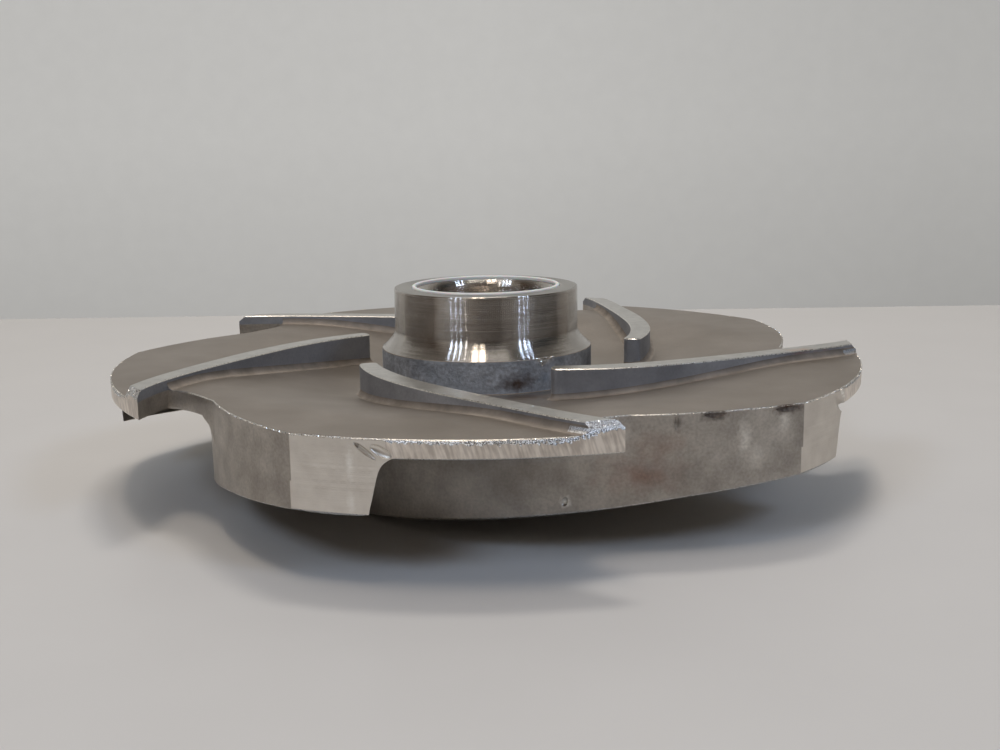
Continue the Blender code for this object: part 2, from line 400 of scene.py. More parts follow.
def lofted(name, rings):
    """Join closed rings of equal length from bottom to top and close both ends."""
    work = bmesh.new()
    loops = [[work.verts.new(point) for point in ring] for ring in rings]
    for low, high in zip(loops, loops[1:]):
        for index, corner in enumerate(low):
            after = (index + 1) % len(low)
            work.faces.new((corner, low[after], high[after], high[index]))
    work.faces.new(reversed(loops[0]))
    work.faces.new(loops[-1])
    bmesh.ops.triangulate(work, faces=work.faces)
    bmesh.ops.recalc_face_normals(work, faces=work.faces)
    return mesh_object(name, work)


def line_object(name, points, attributes=(), closed=False):
    """A line of points with named point values, for a tree to sweep."""
    work = bmesh.new()
    corners = [work.verts.new((*point, 0.0)) for point in points]
    pairs = list(zip(corners, corners[1:]))
    if closed:
        pairs.append((corners[-1], corners[0]))
    for pair in pairs:
        work.edges.new(pair)
    item = mesh_object(name, work)
    for label, values in attributes:
        layer = item.data.attributes.new(label, "FLOAT", "POINT")
        layer.data.foreach_set("value", values)
    return item


# Node trees


def add_node(tree, kind, *sources, **settings):
    """Add a node, set it and feed its inputs: in order, or by name or number from a dict."""
    node = tree.nodes.new(kind)
    for name, value in settings.items():
        setattr(node, name, value)
    named = sources[0] if sources and isinstance(sources[0], dict) else dict(enumerate(sources))
    for key, source in named.items():
        if isinstance(source, bpy.types.Node):
            source = next(socket for socket in source.outputs if socket.enabled)
        if isinstance(source, bpy.types.NodeSocket):
            tree.links.new(source, node.inputs[key])
        else:
            node.inputs[key].default_value = source
    return node


def new_tree(name, **labels_by_kind):
    """A Geometry Nodes tree with named inputs, what adds its nodes, and its inputs by name."""
    tree = bpy.data.node_groups.new(name, "GeometryNodeTree")
    tree.interface.new_socket("Geometry", in_out="OUTPUT", socket_type="NodeSocketGeometry")
    for kind, labels in labels_by_kind.items():
        for label in labels:
            tree.interface.new_socket(label, in_out="INPUT", socket_type="NodeSocket" + kind)
    put = partial(add_node, tree)
    given = {socket.name: socket for socket in put("NodeGroupInput").outputs if socket.name}
    return tree, put, given


def run_tree(name, tree, values):
    """Evaluate a tree on a new object, remove its helpers and close the plain mesh it gives."""
    item = link(name, bpy.data.meshes.new(name))
    modifier = item.modifiers.new(tree.name, "NODES")
    modifier.node_group = tree
    for socket in tree.interface.items_tree:
        if socket.in_out == "INPUT":
            modifier[socket.identifier] = values[socket.name]
    apply_modifiers(item)
    for helper in values.values():
        if isinstance(helper, bpy.types.Object):
            remove_object(helper)
    close_and_turn_out(item)
    return item


# Casting: main vanes


def vane_places(turns, eases):
    """A point for each vane, which carries its turn round the axis and its tip's ease."""
    spots = [(0.0, 0.0)] * VANE_COUNT
    return line_object("vane_places", spots, (("turn", turns), ("ease", eases)))


def repeat_round_axis(put, given, piece):
    """Copy a vane onto each place, turned as the place says."""
    places = put("GeometryNodeObjectInfo", {"Object": given["Places"]})
    turn = put("GeometryNodeInputNamedAttribute", "turn", data_type="FLOAT")
    sources = {
        "Points": places.outputs["Geometry"],
        "Instance": piece,
        "Rotation": put("ShaderNodeCombineXYZ", {"Z": turn}),
    }
    return put("GeometryNodeRealizeInstances", put("GeometryNodeInstanceOnPoints", sources))


def finish_tree(put, geometry, material):
    coated = put("GeometryNodeSetMaterial", {"Geometry": geometry, "Material": material})
    put("NodeGroupOutput", coated)


def swept_wall(put, path, values, section, capped):
    """Sweep a section object along a path, whose named values the wall's points carry."""
    for label, kind, value in values:
        path = put(
            "GeometryNodeStoreNamedAttribute",
            {"Geometry": path, "Name": label, "Value": value},
            data_type=kind,
            domain="POINT",
        )
    shape = put("GeometryNodeObjectInfo", {"Object": section})
    ring = put("GeometryNodeMeshToCurve", shape.outputs["Geometry"])
    sources = {"Curve": path, "Profile Curve": ring, "Fill Caps": capped}
    return put("GeometryNodeCurveToMesh", sources)


def main_vane_tree():
    """A main vane swept along its spiral and repeated round the axis.

    The profile object's points carry their place in the wall: across and up are shares of
    the thickness and the height, spread and lift are lengths added to them.
    """
    lengths = ("Rim radius", "Tip thickness", "Middle thickness", "Inner thickness")
    angles = ("Start angle", "Wrap", "Overrun", "Thickest angle", "End taper")
    tree, put, given = new_tree(
        "Main vanes",
        Float=(*lengths, *angles, "Spiral", "Spiral growth"),
        Int=("Stations",),
        Object=("Places", "Profile"),
        Material=("Material",),
    )

    # Spiral path, from beyond the rim inwards
    line = put("GeometryNodeCurvePrimitiveLine")
    path = put("GeometryNodeResampleCurve", {"Curve": line, "Count": given["Stations"]})
    along = put("GeometryNodeSplineParameter")
    span = put("ShaderNodeMath", given["Wrap"], given["Overrun"], operation="ADD")
    swept = put("ShaderNodeMath", along, span, operation="MULTIPLY")
    back_turn = put("ShaderNodeMath", swept, given["Overrun"], operation="SUBTRACT")
    growth = put("ShaderNodeMath", back_turn, given["Spiral growth"], operation="MULTIPLY")
    rate = put("ShaderNodeMath", growth, given["Spiral"], operation="ADD")
    shrink = put("ShaderNodeMath", rate, back_turn, operation="MULTIPLY")
    fall = put("ShaderNodeMath", shrink, -1.0, operation="MULTIPLY")
    factor = put("ShaderNodeMath", fall, operation="EXPONENT")
    radius = put("ShaderNodeMath", factor, given["Rim radius"], operation="MULTIPLY")
    angle = put("ShaderNodeMath", given["Start angle"], back_turn, operation="SUBTRACT")
    cos = put("ShaderNodeMath", angle, operation="COSINE")
    sin = put("ShaderNodeMath", angle, operation="SINE")
    x = put("ShaderNodeMath", radius, cos, operation="MULTIPLY")
    y = put("ShaderNodeMath", radius, sin, operation="MULTIPLY")
    place = put("ShaderNodeCombineXYZ", x, y, 0.0)
    path = put("GeometryNodeSetPosition", {"Geometry": path, "Position": place})

    # Each station's side and thickness, and how full the wall still is near its inner end
    tangent = put("ShaderNodeSeparateXYZ", put("GeometryNodeInputTangent"))
    minus_x = put("ShaderNodeMath", tangent.outputs["X"], -1.0, operation="MULTIPLY")
    side = put("ShaderNodeCombineXYZ", tangent.outputs["Y"], minus_x, 0.0)
    thickest = given["Thickest angle"]
    ends = (given["Tip thickness"], given["Middle thickness"])
    outer_part = put("ShaderNodeMapRange", back_turn, 0.0, thickest, *ends)
    ends = (outer_part, given["Inner thickness"])
    thickness = put("ShaderNodeMapRange", back_turn, thickest, given["Wrap"], *ends)
    left = put("ShaderNodeMath", given["Wrap"], back_turn, operation="SUBTRACT")
    taper = put("ShaderNodeMapRange", left, 0.0, given["End taper"], MAIN_END_FULLNESS, 1.0)
    missing = put("ShaderNodeMath", 1.0, taper, operation="SUBTRACT")
    missing = put("ShaderNodeMath", missing, 2.0, operation="POWER")
    fullness = put("ShaderNodeMath", 1.0, missing, operation="SUBTRACT")
    fullness = put("ShaderNodeMath", fullness, operation="SQRT")
    values = (
        ("centre", "FLOAT_VECTOR", put("GeometryNodeInputPosition")),
        ("side", "FLOAT_VECTOR", side),
        ("thickness", "FLOAT", thickness),
        ("fullness", "FLOAT", fullness),
    )
    wall = swept_wall(put, path, values, given["Profile"], capped=True)

    # Put every point where its shares say
    kinds = [(label, kind) for label, kind, _ in values]
    kinds += [(label, "FLOAT") for label in ("across", "spread", "up", "lift")]
    own = {
        label: put("GeometryNodeInputNamedAttribute", label, data_type=kind)
        for label, kind in kinds
    }
    half = put("ShaderNodeMath", own["thickness"], 0.5, operation="MULTIPLY")
    lean = put("ShaderNodeMath", own["across"], 0.5, operation="SUBTRACT")
    lean = put("ShaderNodeMath", lean, own["fullness"], operation="MULTIPLY")
    lean = put("ShaderNodeMath", lean, own["thickness"], operation="MULTIPLY")
    shift = put("ShaderNodeMath", half, lean, operation="ADD")
    shift = put("ShaderNodeMath", shift, own["spread"], operation="ADD")
    push = put("ShaderNodeVectorMath", {"Vector": own["side"], "Scale": shift}, operation="SCALE")
    flat = put("ShaderNodeVectorMath", own["centre"], push, operation="ADD")
    reach = put("ShaderNodeVectorMath", flat, operation="LENGTH").outputs["Value"]
    front = front_profile_nodes(put, reach)
    height = put("ShaderNodeMath", under_face_nodes(put, reach), front, operation="SUBTRACT")
    height = put("ShaderNodeMath", height, own["up"], operation="MULTIPLY")
    z = put("ShaderNodeMath", height, front, operation="ADD")
    z = put("ShaderNodeMath", z, own["lift"], operation="ADD")
    lifted = put("ShaderNodeVectorMath", flat, put("ShaderNodeCombineXYZ", 0.0, 0.0, z))
    wall = put("GeometryNodeSetPosition", {"Geometry": wall, "Position": lifted})
    finish_tree(put, repeat_round_axis(put, given, wall), given["Material"])
    return tree


def back_face_nodes(put, reach):
    """Nodes for the shroud's back face height at a radius."""
    dish = (DISH_INNER_RADIUS, DISH_OUTER_RADIUS, RIM_FACE_Z - DISH_DEPTH, RIM_FACE_Z)
    return put("ShaderNodeMapRange", reach, *dish, interpolation_type="SMOOTHSTEP")


def under_face_nodes(put, reach):
    """Nodes for the shroud's underside height at a radius."""
    depths = (RIM_THICKNESS + THICKENING_TO_AXIS, RIM_THICKNESS)
    depth = put("ShaderNodeMapRange", reach, 0.0, OUTER_RADIUS, *depths, clamp=False)
    return put("ShaderNodeMath", back_face_nodes(put, reach), depth, operation="SUBTRACT")


def front_profile_nodes(put, reach):
    """Nodes for the height that the lathe leaves on the main vanes' lower edges."""
    (rim, rim_z), (knee, knee_z), (rest, rest_z) = FRONT_PROFILE
    inner = put("ShaderNodeMapRange", reach, rest, knee, rest_z, knee_z)
    outer = put("ShaderNodeMapRange", reach, knee, rim, 0.0, rim_z - knee_z)
    return put("ShaderNodeMath", inner, outer, operation="ADD")


def main_vane_profile(edge_break):
    """The closed wall section: outer side up, then the inner side down with its fillet."""
    rows = [
        (0.0, edge_break, 0.0, 0.0),
        (0.0, 0.0, 0.0, edge_break),
        (0.0, 0.0, 0.33, 0.0),
        (0.0, 0.0, 0.66, 0.0),
        (0.0, 0.0, 1.0, -0.0075),
        (0.0, -0.0004, 1.0, -0.0045),
        (0.0, -0.0011, 1.0, -0.0022),
        (0.0, -0.0024, 1.0, -0.0004),
        (0.0, -0.0034, 1.0, 0.0020),
        (1.0, 0.0036, 1.0, 0.0020),
    ]
    # Inner side: a slight draft, and a fillet that opens out under the shroud
    for depth in MAIN_FILLET_DEPTHS:
        drafted = MAIN_INNER_SPREAD - MAIN_INNER_DRAFT * depth
        spread = drafted + MAIN_FILLET_WIDTH * math.exp(-depth / MAIN_FILLET_FALL)
        rows.append((1.0, spread, 1.0, -depth))
    rows += [
        (1.0, 0.0001, 0.12, 0.0),
        (1.0, 0.0, 0.0, edge_break),
        (1.0, -edge_break, 0.0, 0.0),
    ]
    labels = ("across", "spread", "up", "lift")
    attributes = list(zip(labels, zip(*rows)))
    points = [(across, up + lift) for across, _, up, lift in rows]
    return line_object("main_vane_section", points, attributes, closed=True)


def build_main_vanes(sizes, material):
    turns = [main_vane_turn(index) for index in range(VANE_COUNT)]
    values = {
        "Rim radius": OUTER_RADIUS,
        "Tip thickness": sizes.tip_thickness,
        "Middle thickness": sizes.middle_thickness,
        "Inner thickness": sizes.nose_thickness,
        "Start angle": math.radians(MAIN_START_DEG),
        "Wrap": math.radians(MAIN_WRAP_DEG),
        "Overrun": math.radians(MAIN_OVERRUN_DEG),
        "Thickest angle": math.radians(MAIN_THICKEST_DEG),
        "End taper": math.radians(MAIN_END_TAPER_DEG),
        "Spiral": MAIN_SPIRAL,
        "Spiral growth": MAIN_SPIRAL_GROWTH,
        "Stations": MAIN_STATIONS,
        "Places": vane_places(turns, [0.0] * VANE_COUNT),
        "Profile": main_vane_profile(sizes.edge_break),
        "Material": material,
    }
    return run_tree("main_vanes", main_vane_tree(), values)


# Casting: back vanes


def back_vane_angle(radius):
    share = (radius - BACK_SWEEP_FROM) / BACK_SWEEP_SPAN
    c0, c1, c2, c3 = BACK_SWEEP_DEG
    return math.radians(c0 + c1 * share + c2 * share**2 + c3 * share**3)


def back_vane_ease(radius, index):
    past = (radius - BACK_TIP_EASE_FROM) / (OUTER_RADIUS - BACK_TIP_EASE_FROM)
    return math.radians(BACK_TIP_EASE_DEG[index]) * max(0.0, past) ** 2


def back_vane_frame(radius):
    """Centre line point, outward tangent and the normal towards the hollow side."""
    here = polar(radius, back_vane_angle(radius))
    ahead = radius + TANGENT_STEP
    tangent = (polar(ahead, back_vane_angle(ahead)) - here).normalized()
    return here, tangent, left_of(tangent)


def back_vane_side(radius, side):
    here, _, normal = back_vane_frame(radius)
    return here + normal * side * blend(BACK_HALF_WIDTHS, radius)


def back_vane_outline():
    """Plan outline of one back vane, from its outer end round its inner end."""
    radii = spread_evenly(BACK_START_RADIUS, OUTER_RADIUS + VANE_OVERSIZE, steps=60)
    outer = [back_vane_side(radius, -1.0) for radius in reversed(radii)]
    inner = [back_vane_side(radius, 1.0) for radius in radii]
    here, tangent, normal = back_vane_frame(BACK_START_RADIUS)
    reach = blend(BACK_HALF_WIDTHS, BACK_START_RADIUS)
    end = []
    for angle in spread_evenly(0.0, math.pi, steps=22)[1:-1]:
        across = math.copysign(abs(math.cos(angle)) ** BACK_END_SQUARENESS, math.cos(angle))
        along = math.sin(angle) ** BACK_END_SQUARENESS * BACK_END_FLATNESS
        end.append(here - tangent * reach * along - normal * reach * across)
    return outer + end + inner


def back_vane_section(edge_break):
    """The wall from foot to top: shares of the fillet, and lengths added to them."""
    # The foot starts inside the shroud and comes up through its face
    rows = [(1.25, -0.0025, 0.0, 0.0, 0.0), (1.12, -0.0001, 0.0, 0.0, 0.0)]
    for degrees in spread_evenly(18.0, 88.0, steps=5):
        angle = math.radians(degrees)
        rows.append((1.0 - math.sin(angle), 0.0, 1.0 - math.cos(angle), 0.0, 0.0))
    rows += [(0.0, -edge_break, 0.0, 1.0, 0.0), (0.0, 0.0, 0.0, 1.0, -edge_break)]
    labels = ("flare", "drop", "rise", "top", "inset")
    # Where the line's points lie is of no use here, as long as they stand apart
    points = [(index * 0.001, 0.0) for index in range(len(rows))]
    return line_object("back_vane_section", points, list(zip(labels, zip(*rows))))


def back_vane_tree():
    """A wall swept round a vane's outline, with a fillet at its foot, then repeated."""
    radii = ("Inner radius", "Outer radius", "Ease from")
    tree, put, given = new_tree(
        "Back vanes",
        Float=("Vane top", "Inner fillet", "Outer fillet", *radii),
        Object=("Places", "Outline", "Section"),
        Material=("Material",),
    )
    outline = put("GeometryNodeObjectInfo", {"Object": given["Outline"]})
    path = put("GeometryNodeMeshToCurve", outline.outputs["Geometry"])
    tangent = put("ShaderNodeSeparateXYZ", put("GeometryNodeInputTangent"))
    minus_y = put("ShaderNodeMath", tangent.outputs["Y"], -1.0, operation="MULTIPLY")
    side = put("ShaderNodeCombineXYZ", minus_y, tangent.outputs["X"], 0.0)
    values = (
        ("centre", "FLOAT_VECTOR", put("GeometryNodeInputPosition")),
        ("side", "FLOAT_VECTOR", side),
    )
    wall = swept_wall(put, path, values, given["Section"], capped=False)

    # Put every point where its shares say
    kinds = [(label, kind) for label, kind, _ in values]
    kinds += [(label, "FLOAT") for label in ("flare", "drop", "rise", "top", "inset", "ease")]
    own = {
        label: put("GeometryNodeInputNamedAttribute", label, data_type=kind)
        for label, kind in kinds
    }
    path_reach = put("ShaderNodeVectorMath", own["centre"], operation="LENGTH").outputs["Value"]
    ends = ("Inner radius", "Outer radius", "Inner fillet", "Outer fillet")
    fillet = put("ShaderNodeMapRange", path_reach, *(given[name] for name in ends))
    flare = put("ShaderNodeMath", own["flare"], fillet, operation="MULTIPLY")
    flare = put("ShaderNodeMath", flare, own["inset"], operation="ADD")
    push = put("ShaderNodeVectorMath", {"Vector": own["side"], "Scale": flare}, operation="SCALE")
    flat = put("ShaderNodeVectorMath", own["centre"], push, operation="ADD")
    reach = put("ShaderNodeVectorMath", flat, operation="LENGTH").outputs["Value"]
    face = back_face_nodes(put, reach)
    room = put("ShaderNodeMath", given["Vane top"], face, operation="SUBTRACT")
    climb = put("ShaderNodeMath", room, own["top"], operation="MULTIPLY")
    rise = put("ShaderNodeMath", own["rise"], fillet, operation="MULTIPLY")
    z = put("ShaderNodeMath", face, climb, operation="ADD")
    z = put("ShaderNodeMath", z, rise, operation="ADD")
    z = put("ShaderNodeMath", z, own["drop"], operation="ADD")
    lifted = put("ShaderNodeVectorMath", flat, put("ShaderNodeCombineXYZ", 0.0, 0.0, z))
    wall = put("GeometryNodeSetPosition", {"Geometry": wall, "Position": lifted})

    # Each copy has its place's ease, by which its tip is turned round the axis
    copies = repeat_round_axis(put, given, wall)
    point = put("GeometryNodeInputPosition")
    split = put("ShaderNodeSeparateXYZ", point)
    plan = put("ShaderNodeCombineXYZ", split.outputs["X"], split.outputs["Y"], 0.0)
    plan_reach = put("ShaderNodeVectorMath", plan, operation="LENGTH").outputs["Value"]
    eased_span = (given["Ease from"], given["Outer radius"])
    past = put("ShaderNodeMapRange", plan_reach, *eased_span, clamp=False)
    past = put("ShaderNodeMath", past, 0.0, operation="MAXIMUM")
    past = put("ShaderNodeMath", past, 2.0, operation="POWER")
    twist = put("ShaderNodeMath", past, own["ease"], operation="MULTIPLY")
    turned = put("ShaderNodeVectorRotate", {"Vector": point, "Angle": twist}, rotation_type="Z_AXIS")
    eased = put("GeometryNodeSetPosition", {"Geometry": copies, "Position": turned})
    finish_tree(put, eased, given["Material"])
    return tree


def build_back_vanes(sizes, material):
    turns = [math.tau * index / VANE_COUNT for index in range(VANE_COUNT)]
    eases = [math.radians(ease) for ease in BACK_TIP_EASE_DEG]
    values = {
        "Vane top": BACK_VANE_TOP_Z,
        "Inner fillet": BACK_INNER_FILLET,
        "Inner radius": BACK_FILLET_FROM,
        "Outer fillet": BACK_OUTER_FILLET,
        "Outer radius": OUTER_RADIUS,
        "Ease from": BACK_TIP_EASE_FROM,
        "Places": vane_places(turns, eases),
        "Outline": line_object("back_vane_outline", back_vane_outline(), closed=True),
        "Section": back_vane_section(sizes.edge_break),
        "Material": material,
    }
    return run_tree("back_vanes", back_vane_tree(), values)


# Casting: lobed outline


def spiral_point(back_turn, turn):
    """Point of a main vane's outer wall, at an angle behind where it meets the rim."""
    shrink = MAIN_SPIRAL * back_turn + MAIN_SPIRAL_GROWTH * back_turn**2
    angle = math.radians(MAIN_START_DEG) - back_turn + turn
    return polar(OUTER_RADIUS * math.exp(-shrink), angle)


def main_vane_turn(index):
    return math.tau * index / VANE_COUNT + math.radians(MAIN_SHIFTS_DEG[index])


def lobe_edge(index):
    """One lobe's edge: the main vane's wall, past the rim, then back along the notch.

    The second value is how many of the points lie along the notch.
    """
    turn = math.tau * index / VANE_COUNT
    reach = OUTER_RADIUS + VANE_OVERSIZE
    edge = []
    for degrees in spread_evenly(NOTCH_FLOOR_DEG[index], -LOBE_OVERRUN_DEG, steps=44):
        edge.append(spiral_point(math.radians(degrees), main_vane_turn(index)))
    hollow_side = []
    for radius in spread_evenly(reach, NOTCH_CORNER_RADIUS, steps=12):
        side = back_vane_side(radius, 1.0)
        ease = back_vane_ease(side.length, index)
        hollow_side.append(turned_by(side, turn + ease))
    start = angle_of(edge[-1])
    span = (angle_of(hollow_side[0]) - start) % math.tau
    for share in spread_evenly(0.1, 0.9, steps=8):
        edge.append(polar(reach + LOBE_BULGE, start + span * share))
    return edge + hollow_side, len(hollow_side)


def notch_floor(before, after):
    """The notch's floor between two lobes' edges, with a rounded corner at the tip."""
    corner_angle = angle_of(before)
    sweep = (angle_of(after) - corner_angle) % math.tau
    floor = []
    for share in spread_evenly(0.0, 1.0, steps=18)[1:-1]:
        sag = NOTCH_FLOOR_SAG * math.sin(math.pi * share)
        ease = NOTCH_CORNER_EASE * (1.0 - (1.0 - share) ** 4)
        start_radius = before.length - ease
        radius = start_radius + (after.length - start_radius) * share - sag
        floor.append(polar(radius, corner_angle + sweep * share))
    return floor


def inset(outline, widths):
    """Move a closed outline inwards, each point by its own small width."""
    moved = []
    for index, (here, width) in enumerate(zip(outline, widths)):
        before = outline[index - 1]
        after = outline[(index + 1) % len(outline)]
        moved.append(here + left_of((after - before).normalized()) * width)
    return moved


def build_lobe_block(edge_break):
    """Upright block with the lobes' plan outline, broken along the rim face's edge.

    A back vane's hollow side runs straight down into the notch, so nothing is broken there.
    """
    edges = [lobe_edge(index) for index in range(VANE_COUNT)]
    outline, widths = [], []
    for (edge, plain), (following, _) in zip(edges, edges[1:] + edges[:1]):
        floor = notch_floor(edge[-1], following[0])
        outline += edge + floor
        widths += [edge_break] * (len(edge) - plain) + [0.0] * plain
        widths += [edge_break * min(1.0, index / BREAK_GROWTH) for index in range(len(floor))]
    inner = inset(outline, widths)
    levels = (
        (outline, -BLOCK_OVERSIZE),
        (outline, RIM_FACE_Z - edge_break),
        (inner, RIM_FACE_Z),
        (inner, HUB_TOP_Z + BLOCK_OVERSIZE),
    )
    rings = [[(*point, z) for point in ring] for ring, z in levels]
    return lofted("lobe_block", rings)


# Casting: turned body


def body_profile(edge_break):
    """Bore, hub, flare, boss, dished back face, rim, underside and nose."""
    seat = HUB_TOP_Z - SEAL_DEPTH
    corners = [
        (0.0, THREAD_CONE_Z, 0.0),
        (THREAD_RADIUS, THREAD_FLOOR_Z, PLAIN_CORNER),
        (THREAD_RADIUS, PILOT_FLOOR_Z - THREAD_CHAMFER, BORE_CORNER),
        (THREAD_RADIUS + THREAD_CHAMFER, PILOT_FLOOR_Z, BORE_CORNER),
        (PILOT_RADIUS, PILOT_FLOOR_Z, FLOOR_CORNER),
    ]
    # The bore opens out in a smooth curve up to the ring's seat
    bottom = seat - MOUTH_ROUNDING * math.sin(math.radians(MOUTH_DEG))
    for angle in spread_evenly(0.0, math.radians(MOUTH_DEG), steps=16):
        radius = PILOT_RADIUS + MOUTH_ROUNDING * (1.0 - math.cos(angle))
        corners.append((radius, bottom + MOUTH_ROUNDING * math.sin(angle), 0.0))
    corners += [
        (SEAL_OUTER_RADIUS, seat, FINE_CORNER),
        (SEAL_OUTER_RADIUS, HUB_FACE_Z, FINE_CORNER),
        (HUB_RADIUS, HUB_FACE_Z, PLAIN_CORNER),
    ]
    # The flare bends outwards as an arc does
    end = math.radians(FLARE_BEND_DEG)
    for share in spread_evenly(0.0, 1.0, steps=14):
        bend = (1.0 - math.cos(share * end)) / (1.0 - math.cos(end))
        radius = HUB_RADIUS + (FLARE_RADIUS - HUB_RADIUS) * bend
        corners.append((radius, HUB_FOOT_Z + (FLARE_EDGE_Z - HUB_FOOT_Z) * share, 0.0))
    corners[-1] = (FLARE_RADIUS, FLARE_EDGE_Z, FINE_CORNER)
    corners.append((BOSS_RADIUS, FLARE_EDGE_Z - BOSS_CORNER, BOSS_CORNER))
    corners.append((BOSS_RADIUS, back_face_z(BOSS_RADIUS), BOSS_FILLET))
    start = BOSS_RADIUS + BOSS_FILLET + BOSS_CLEARANCE
    for radius in spread_evenly(start, DISH_OUTER_RADIUS, steps=44):
        corners.append((radius, back_face_z(radius), 0.0))
    beyond = OUTER_RADIUS + BODY_OVERSIZE
    drop = edge_break + BODY_OVERSIZE
    under = front_face_z(OUTER_RADIUS)
    corners += [
        (OUTER_RADIUS - edge_break, RIM_FACE_Z, 0.0),
        (beyond, RIM_FACE_Z - drop, 0.0),
        (beyond, under + drop, 0.0),
        (OUTER_RADIUS - edge_break, under, 0.0),
    ]
    nose_start = NOSE_RADIUS + NOSE_FILLET + NOSE_CLEARANCE
    for radius in spread_evenly(DISH_OUTER_RADIUS, nose_start, steps=30):
        corners.append((radius, front_face_z(radius), 0.0))
    corners += [
        (NOSE_RADIUS, front_face_z(NOSE_RADIUS), NOSE_FILLET),
        (NOSE_RADIUS, NOSE_TIP_Z, NOSE_DOME),
        (0.0, NOSE_TIP_Z, 0.0),
    ]
    return rounded(corners)


def machining_envelope(sizes):
    """What the lathe leaves: the rim's cylinder, with its upper and lower edges broken."""
    low = FRONT_PROFILE[0][1] + sizes.edge_break
    top = HUB_TOP_Z + ENVELOPE_OVERSIZE
    shoulder = BACK_VANE_TOP_Z - sizes.tip_break * TIP_BREAK_SLOPE
    # The vane tips' chamfer goes on twice as far, past their tops
    inwards = sizes.tip_break * 2.0
    profile = [
        (0.0, top),
        (OUTER_RADIUS - inwards, top),
        (OUTER_RADIUS - inwards, shoulder + inwards * TIP_BREAK_SLOPE),
        (OUTER_RADIUS, shoulder),
        (OUTER_RADIUS, RIM_FACE_Z - RIM_THICKNESS),
        (OUTER_RADIUS, low),
        (OUTER_RADIUS - low - ENVELOPE_OVERSIZE, -ENVELOPE_OVERSIZE),
        (0.0, -ENVELOPE_OVERSIZE),
    ]
    return spun("machining_envelope", profile)


def combine(target, operation, helper):
    modifier = target.modifiers.new(operation, "BOOLEAN")
    modifier.operation = operation
    modifier.solver = "MANIFOLD"
    modifier.object = helper


# Knocks and ground spots: centre, long direction, half sizes along, across and deep
DENTS = (
    ((-0.02720, -0.12190, 0.0357), (0.85, -0.20, -0.45), (0.0032, 0.0014, 0.0010)),
    ((0.10440, -0.07036, 0.0357), (0.45, 0.68, -0.58), (0.0066, 0.0034, 0.0024)),
    ((0.0614, -0.0985, 0.0385), (0.95, 0.30, 0.0), (0.0042, 0.0016, 0.0018)),
    ((0.0828, -0.0918, 0.0384), (0.90, 0.42, 0.0), (0.0050, 0.0017, 0.0017)),
    ((0.0512, -0.1002, 0.0364), (0.05, 0.0, 1.0), (0.0034, 0.0009, 0.0015)),
    ((0.0206, -0.0991, 0.0145), (0.3, 0.0, 1.0), (0.0018, 0.0011, 0.0017)),
    ((-0.0700, -0.1010, 0.0386), (0.80, -0.60, 0.0), (0.0024, 0.0009, 0.0008)),
    ((-0.03150, -0.12090, 0.0357), (0.78, -0.20, -0.60), (0.0038, 0.0008, 0.0011)),
)


def build_dents():
    """Flattened balls just outside the wall, which cut the dents."""
    work = bmesh.new()
    for centre, along, sizes in DENTS:
        along = Vector(along).normalized()
        out = Vector((centre[0], centre[1], 0.0))
        out = (out - along * out.dot(along)).normalized()
        across = out.cross(along)
        columns = [axis * size for axis, size in zip((along, across, out), sizes)]
        shape = axes_at(columns, centre)
        bmesh.ops.create_icosphere(work, subdivisions=4, radius=1.0, matrix=shape)
    return mesh_object("dents", work)


def build_casting(sizes, cast):
    """Join the turned body and the vanes, then cut the outline, the rim and the dents."""
    casting = spun("impeller_body", body_profile(sizes.edge_break))
    helpers = [
        ("UNION", build_main_vanes(sizes, cast)),
        ("UNION", build_back_vanes(sizes, cast)),
        ("INTERSECT", build_lobe_block(sizes.edge_break)),
        ("INTERSECT", machining_envelope(sizes)),
        ("DIFFERENCE", build_dents()),
    ]
    for operation, helper in helpers:
        combine(casting, operation, helper)
    apply_modifiers(casting)
    for _, helper in helpers:
        remove_object(helper)
    attributes = casting.data.attributes
    for label in [attribute.name for attribute in attributes if not attribute.is_internal]:
        if label not in ("position", "sharp_edge", "material_index", "sharp_face"):
            attributes.remove(attributes[label])
    return casting


def smooth_edges(item, sharp_deg):
    """Smooth shading with crisp corners, the wide faces keeping their own direction."""
    item.data.shade_smooth()
    item.data.set_sharp_from_angle(angle=math.radians(sharp_deg))
    modifier = item.modifiers.new("even normals", "WEIGHTED_NORMAL")
    modifier.keep_sharp = True
    modifier.weight = 50
    apply_modifiers(item)


# The bore's finish: each row holds below a radius and above a height
BORE_ZONES = (
    (0.0160, 0.0165),
    (0.0237, 0.0445),
    (SEAL_OUTER_RADIUS + 0.0002, HUB_TOP_Z - 0.0025),
)
# How close to a face, a wall or a corner still counts as on it
ON_HUB_FACE = 0.0001
ON_BACK_FACE = 0.00002
ON_RIM_WALL = 0.0002
ON_LOWER_CORNER = 0.0005
ON_FRONT = 0.0005
ON_BOSS = 0.0005
# How wide the worn and the torn corners are, and how much of a corner is left out
WORN_WIDTH = 0.0004
WORN_FRONT_WIDTH = 0.0008
TORN_WIDTH = 0.0045
CORNER_GAP = 0.0003
# How far the boss's finish reaches out, and how high a back vane's foot is where it is steep
BOSS_REACH = 0.0022
FOOT_HEIGHT = 0.0002
# From which radius the rim face's corner is worn and the back vanes have finishes of their own
WORN_RIM_FROM = 0.09
VANES_FROM = 0.045
# The highest place of a main vane's turned lower edge
FRONT_TOP_Z = 0.020
# How far round a ground spot and round a knock their finishes reach
GROUND_REACH = 0.0062
KNOCK_REACH = 0.0055
# Between which upward parts of a face's direction it counts as slanting, for each finish
WORN_SLANT = (0.3, 0.93)
WORN_FRONT_SLANT = (-0.88, -0.3)
WORN_RIM_SLANT = (-0.93, -0.3)
KNOCK_SLANT = (0.15, 0.9)
FOOT_SLANT = (0.12, 0.95)
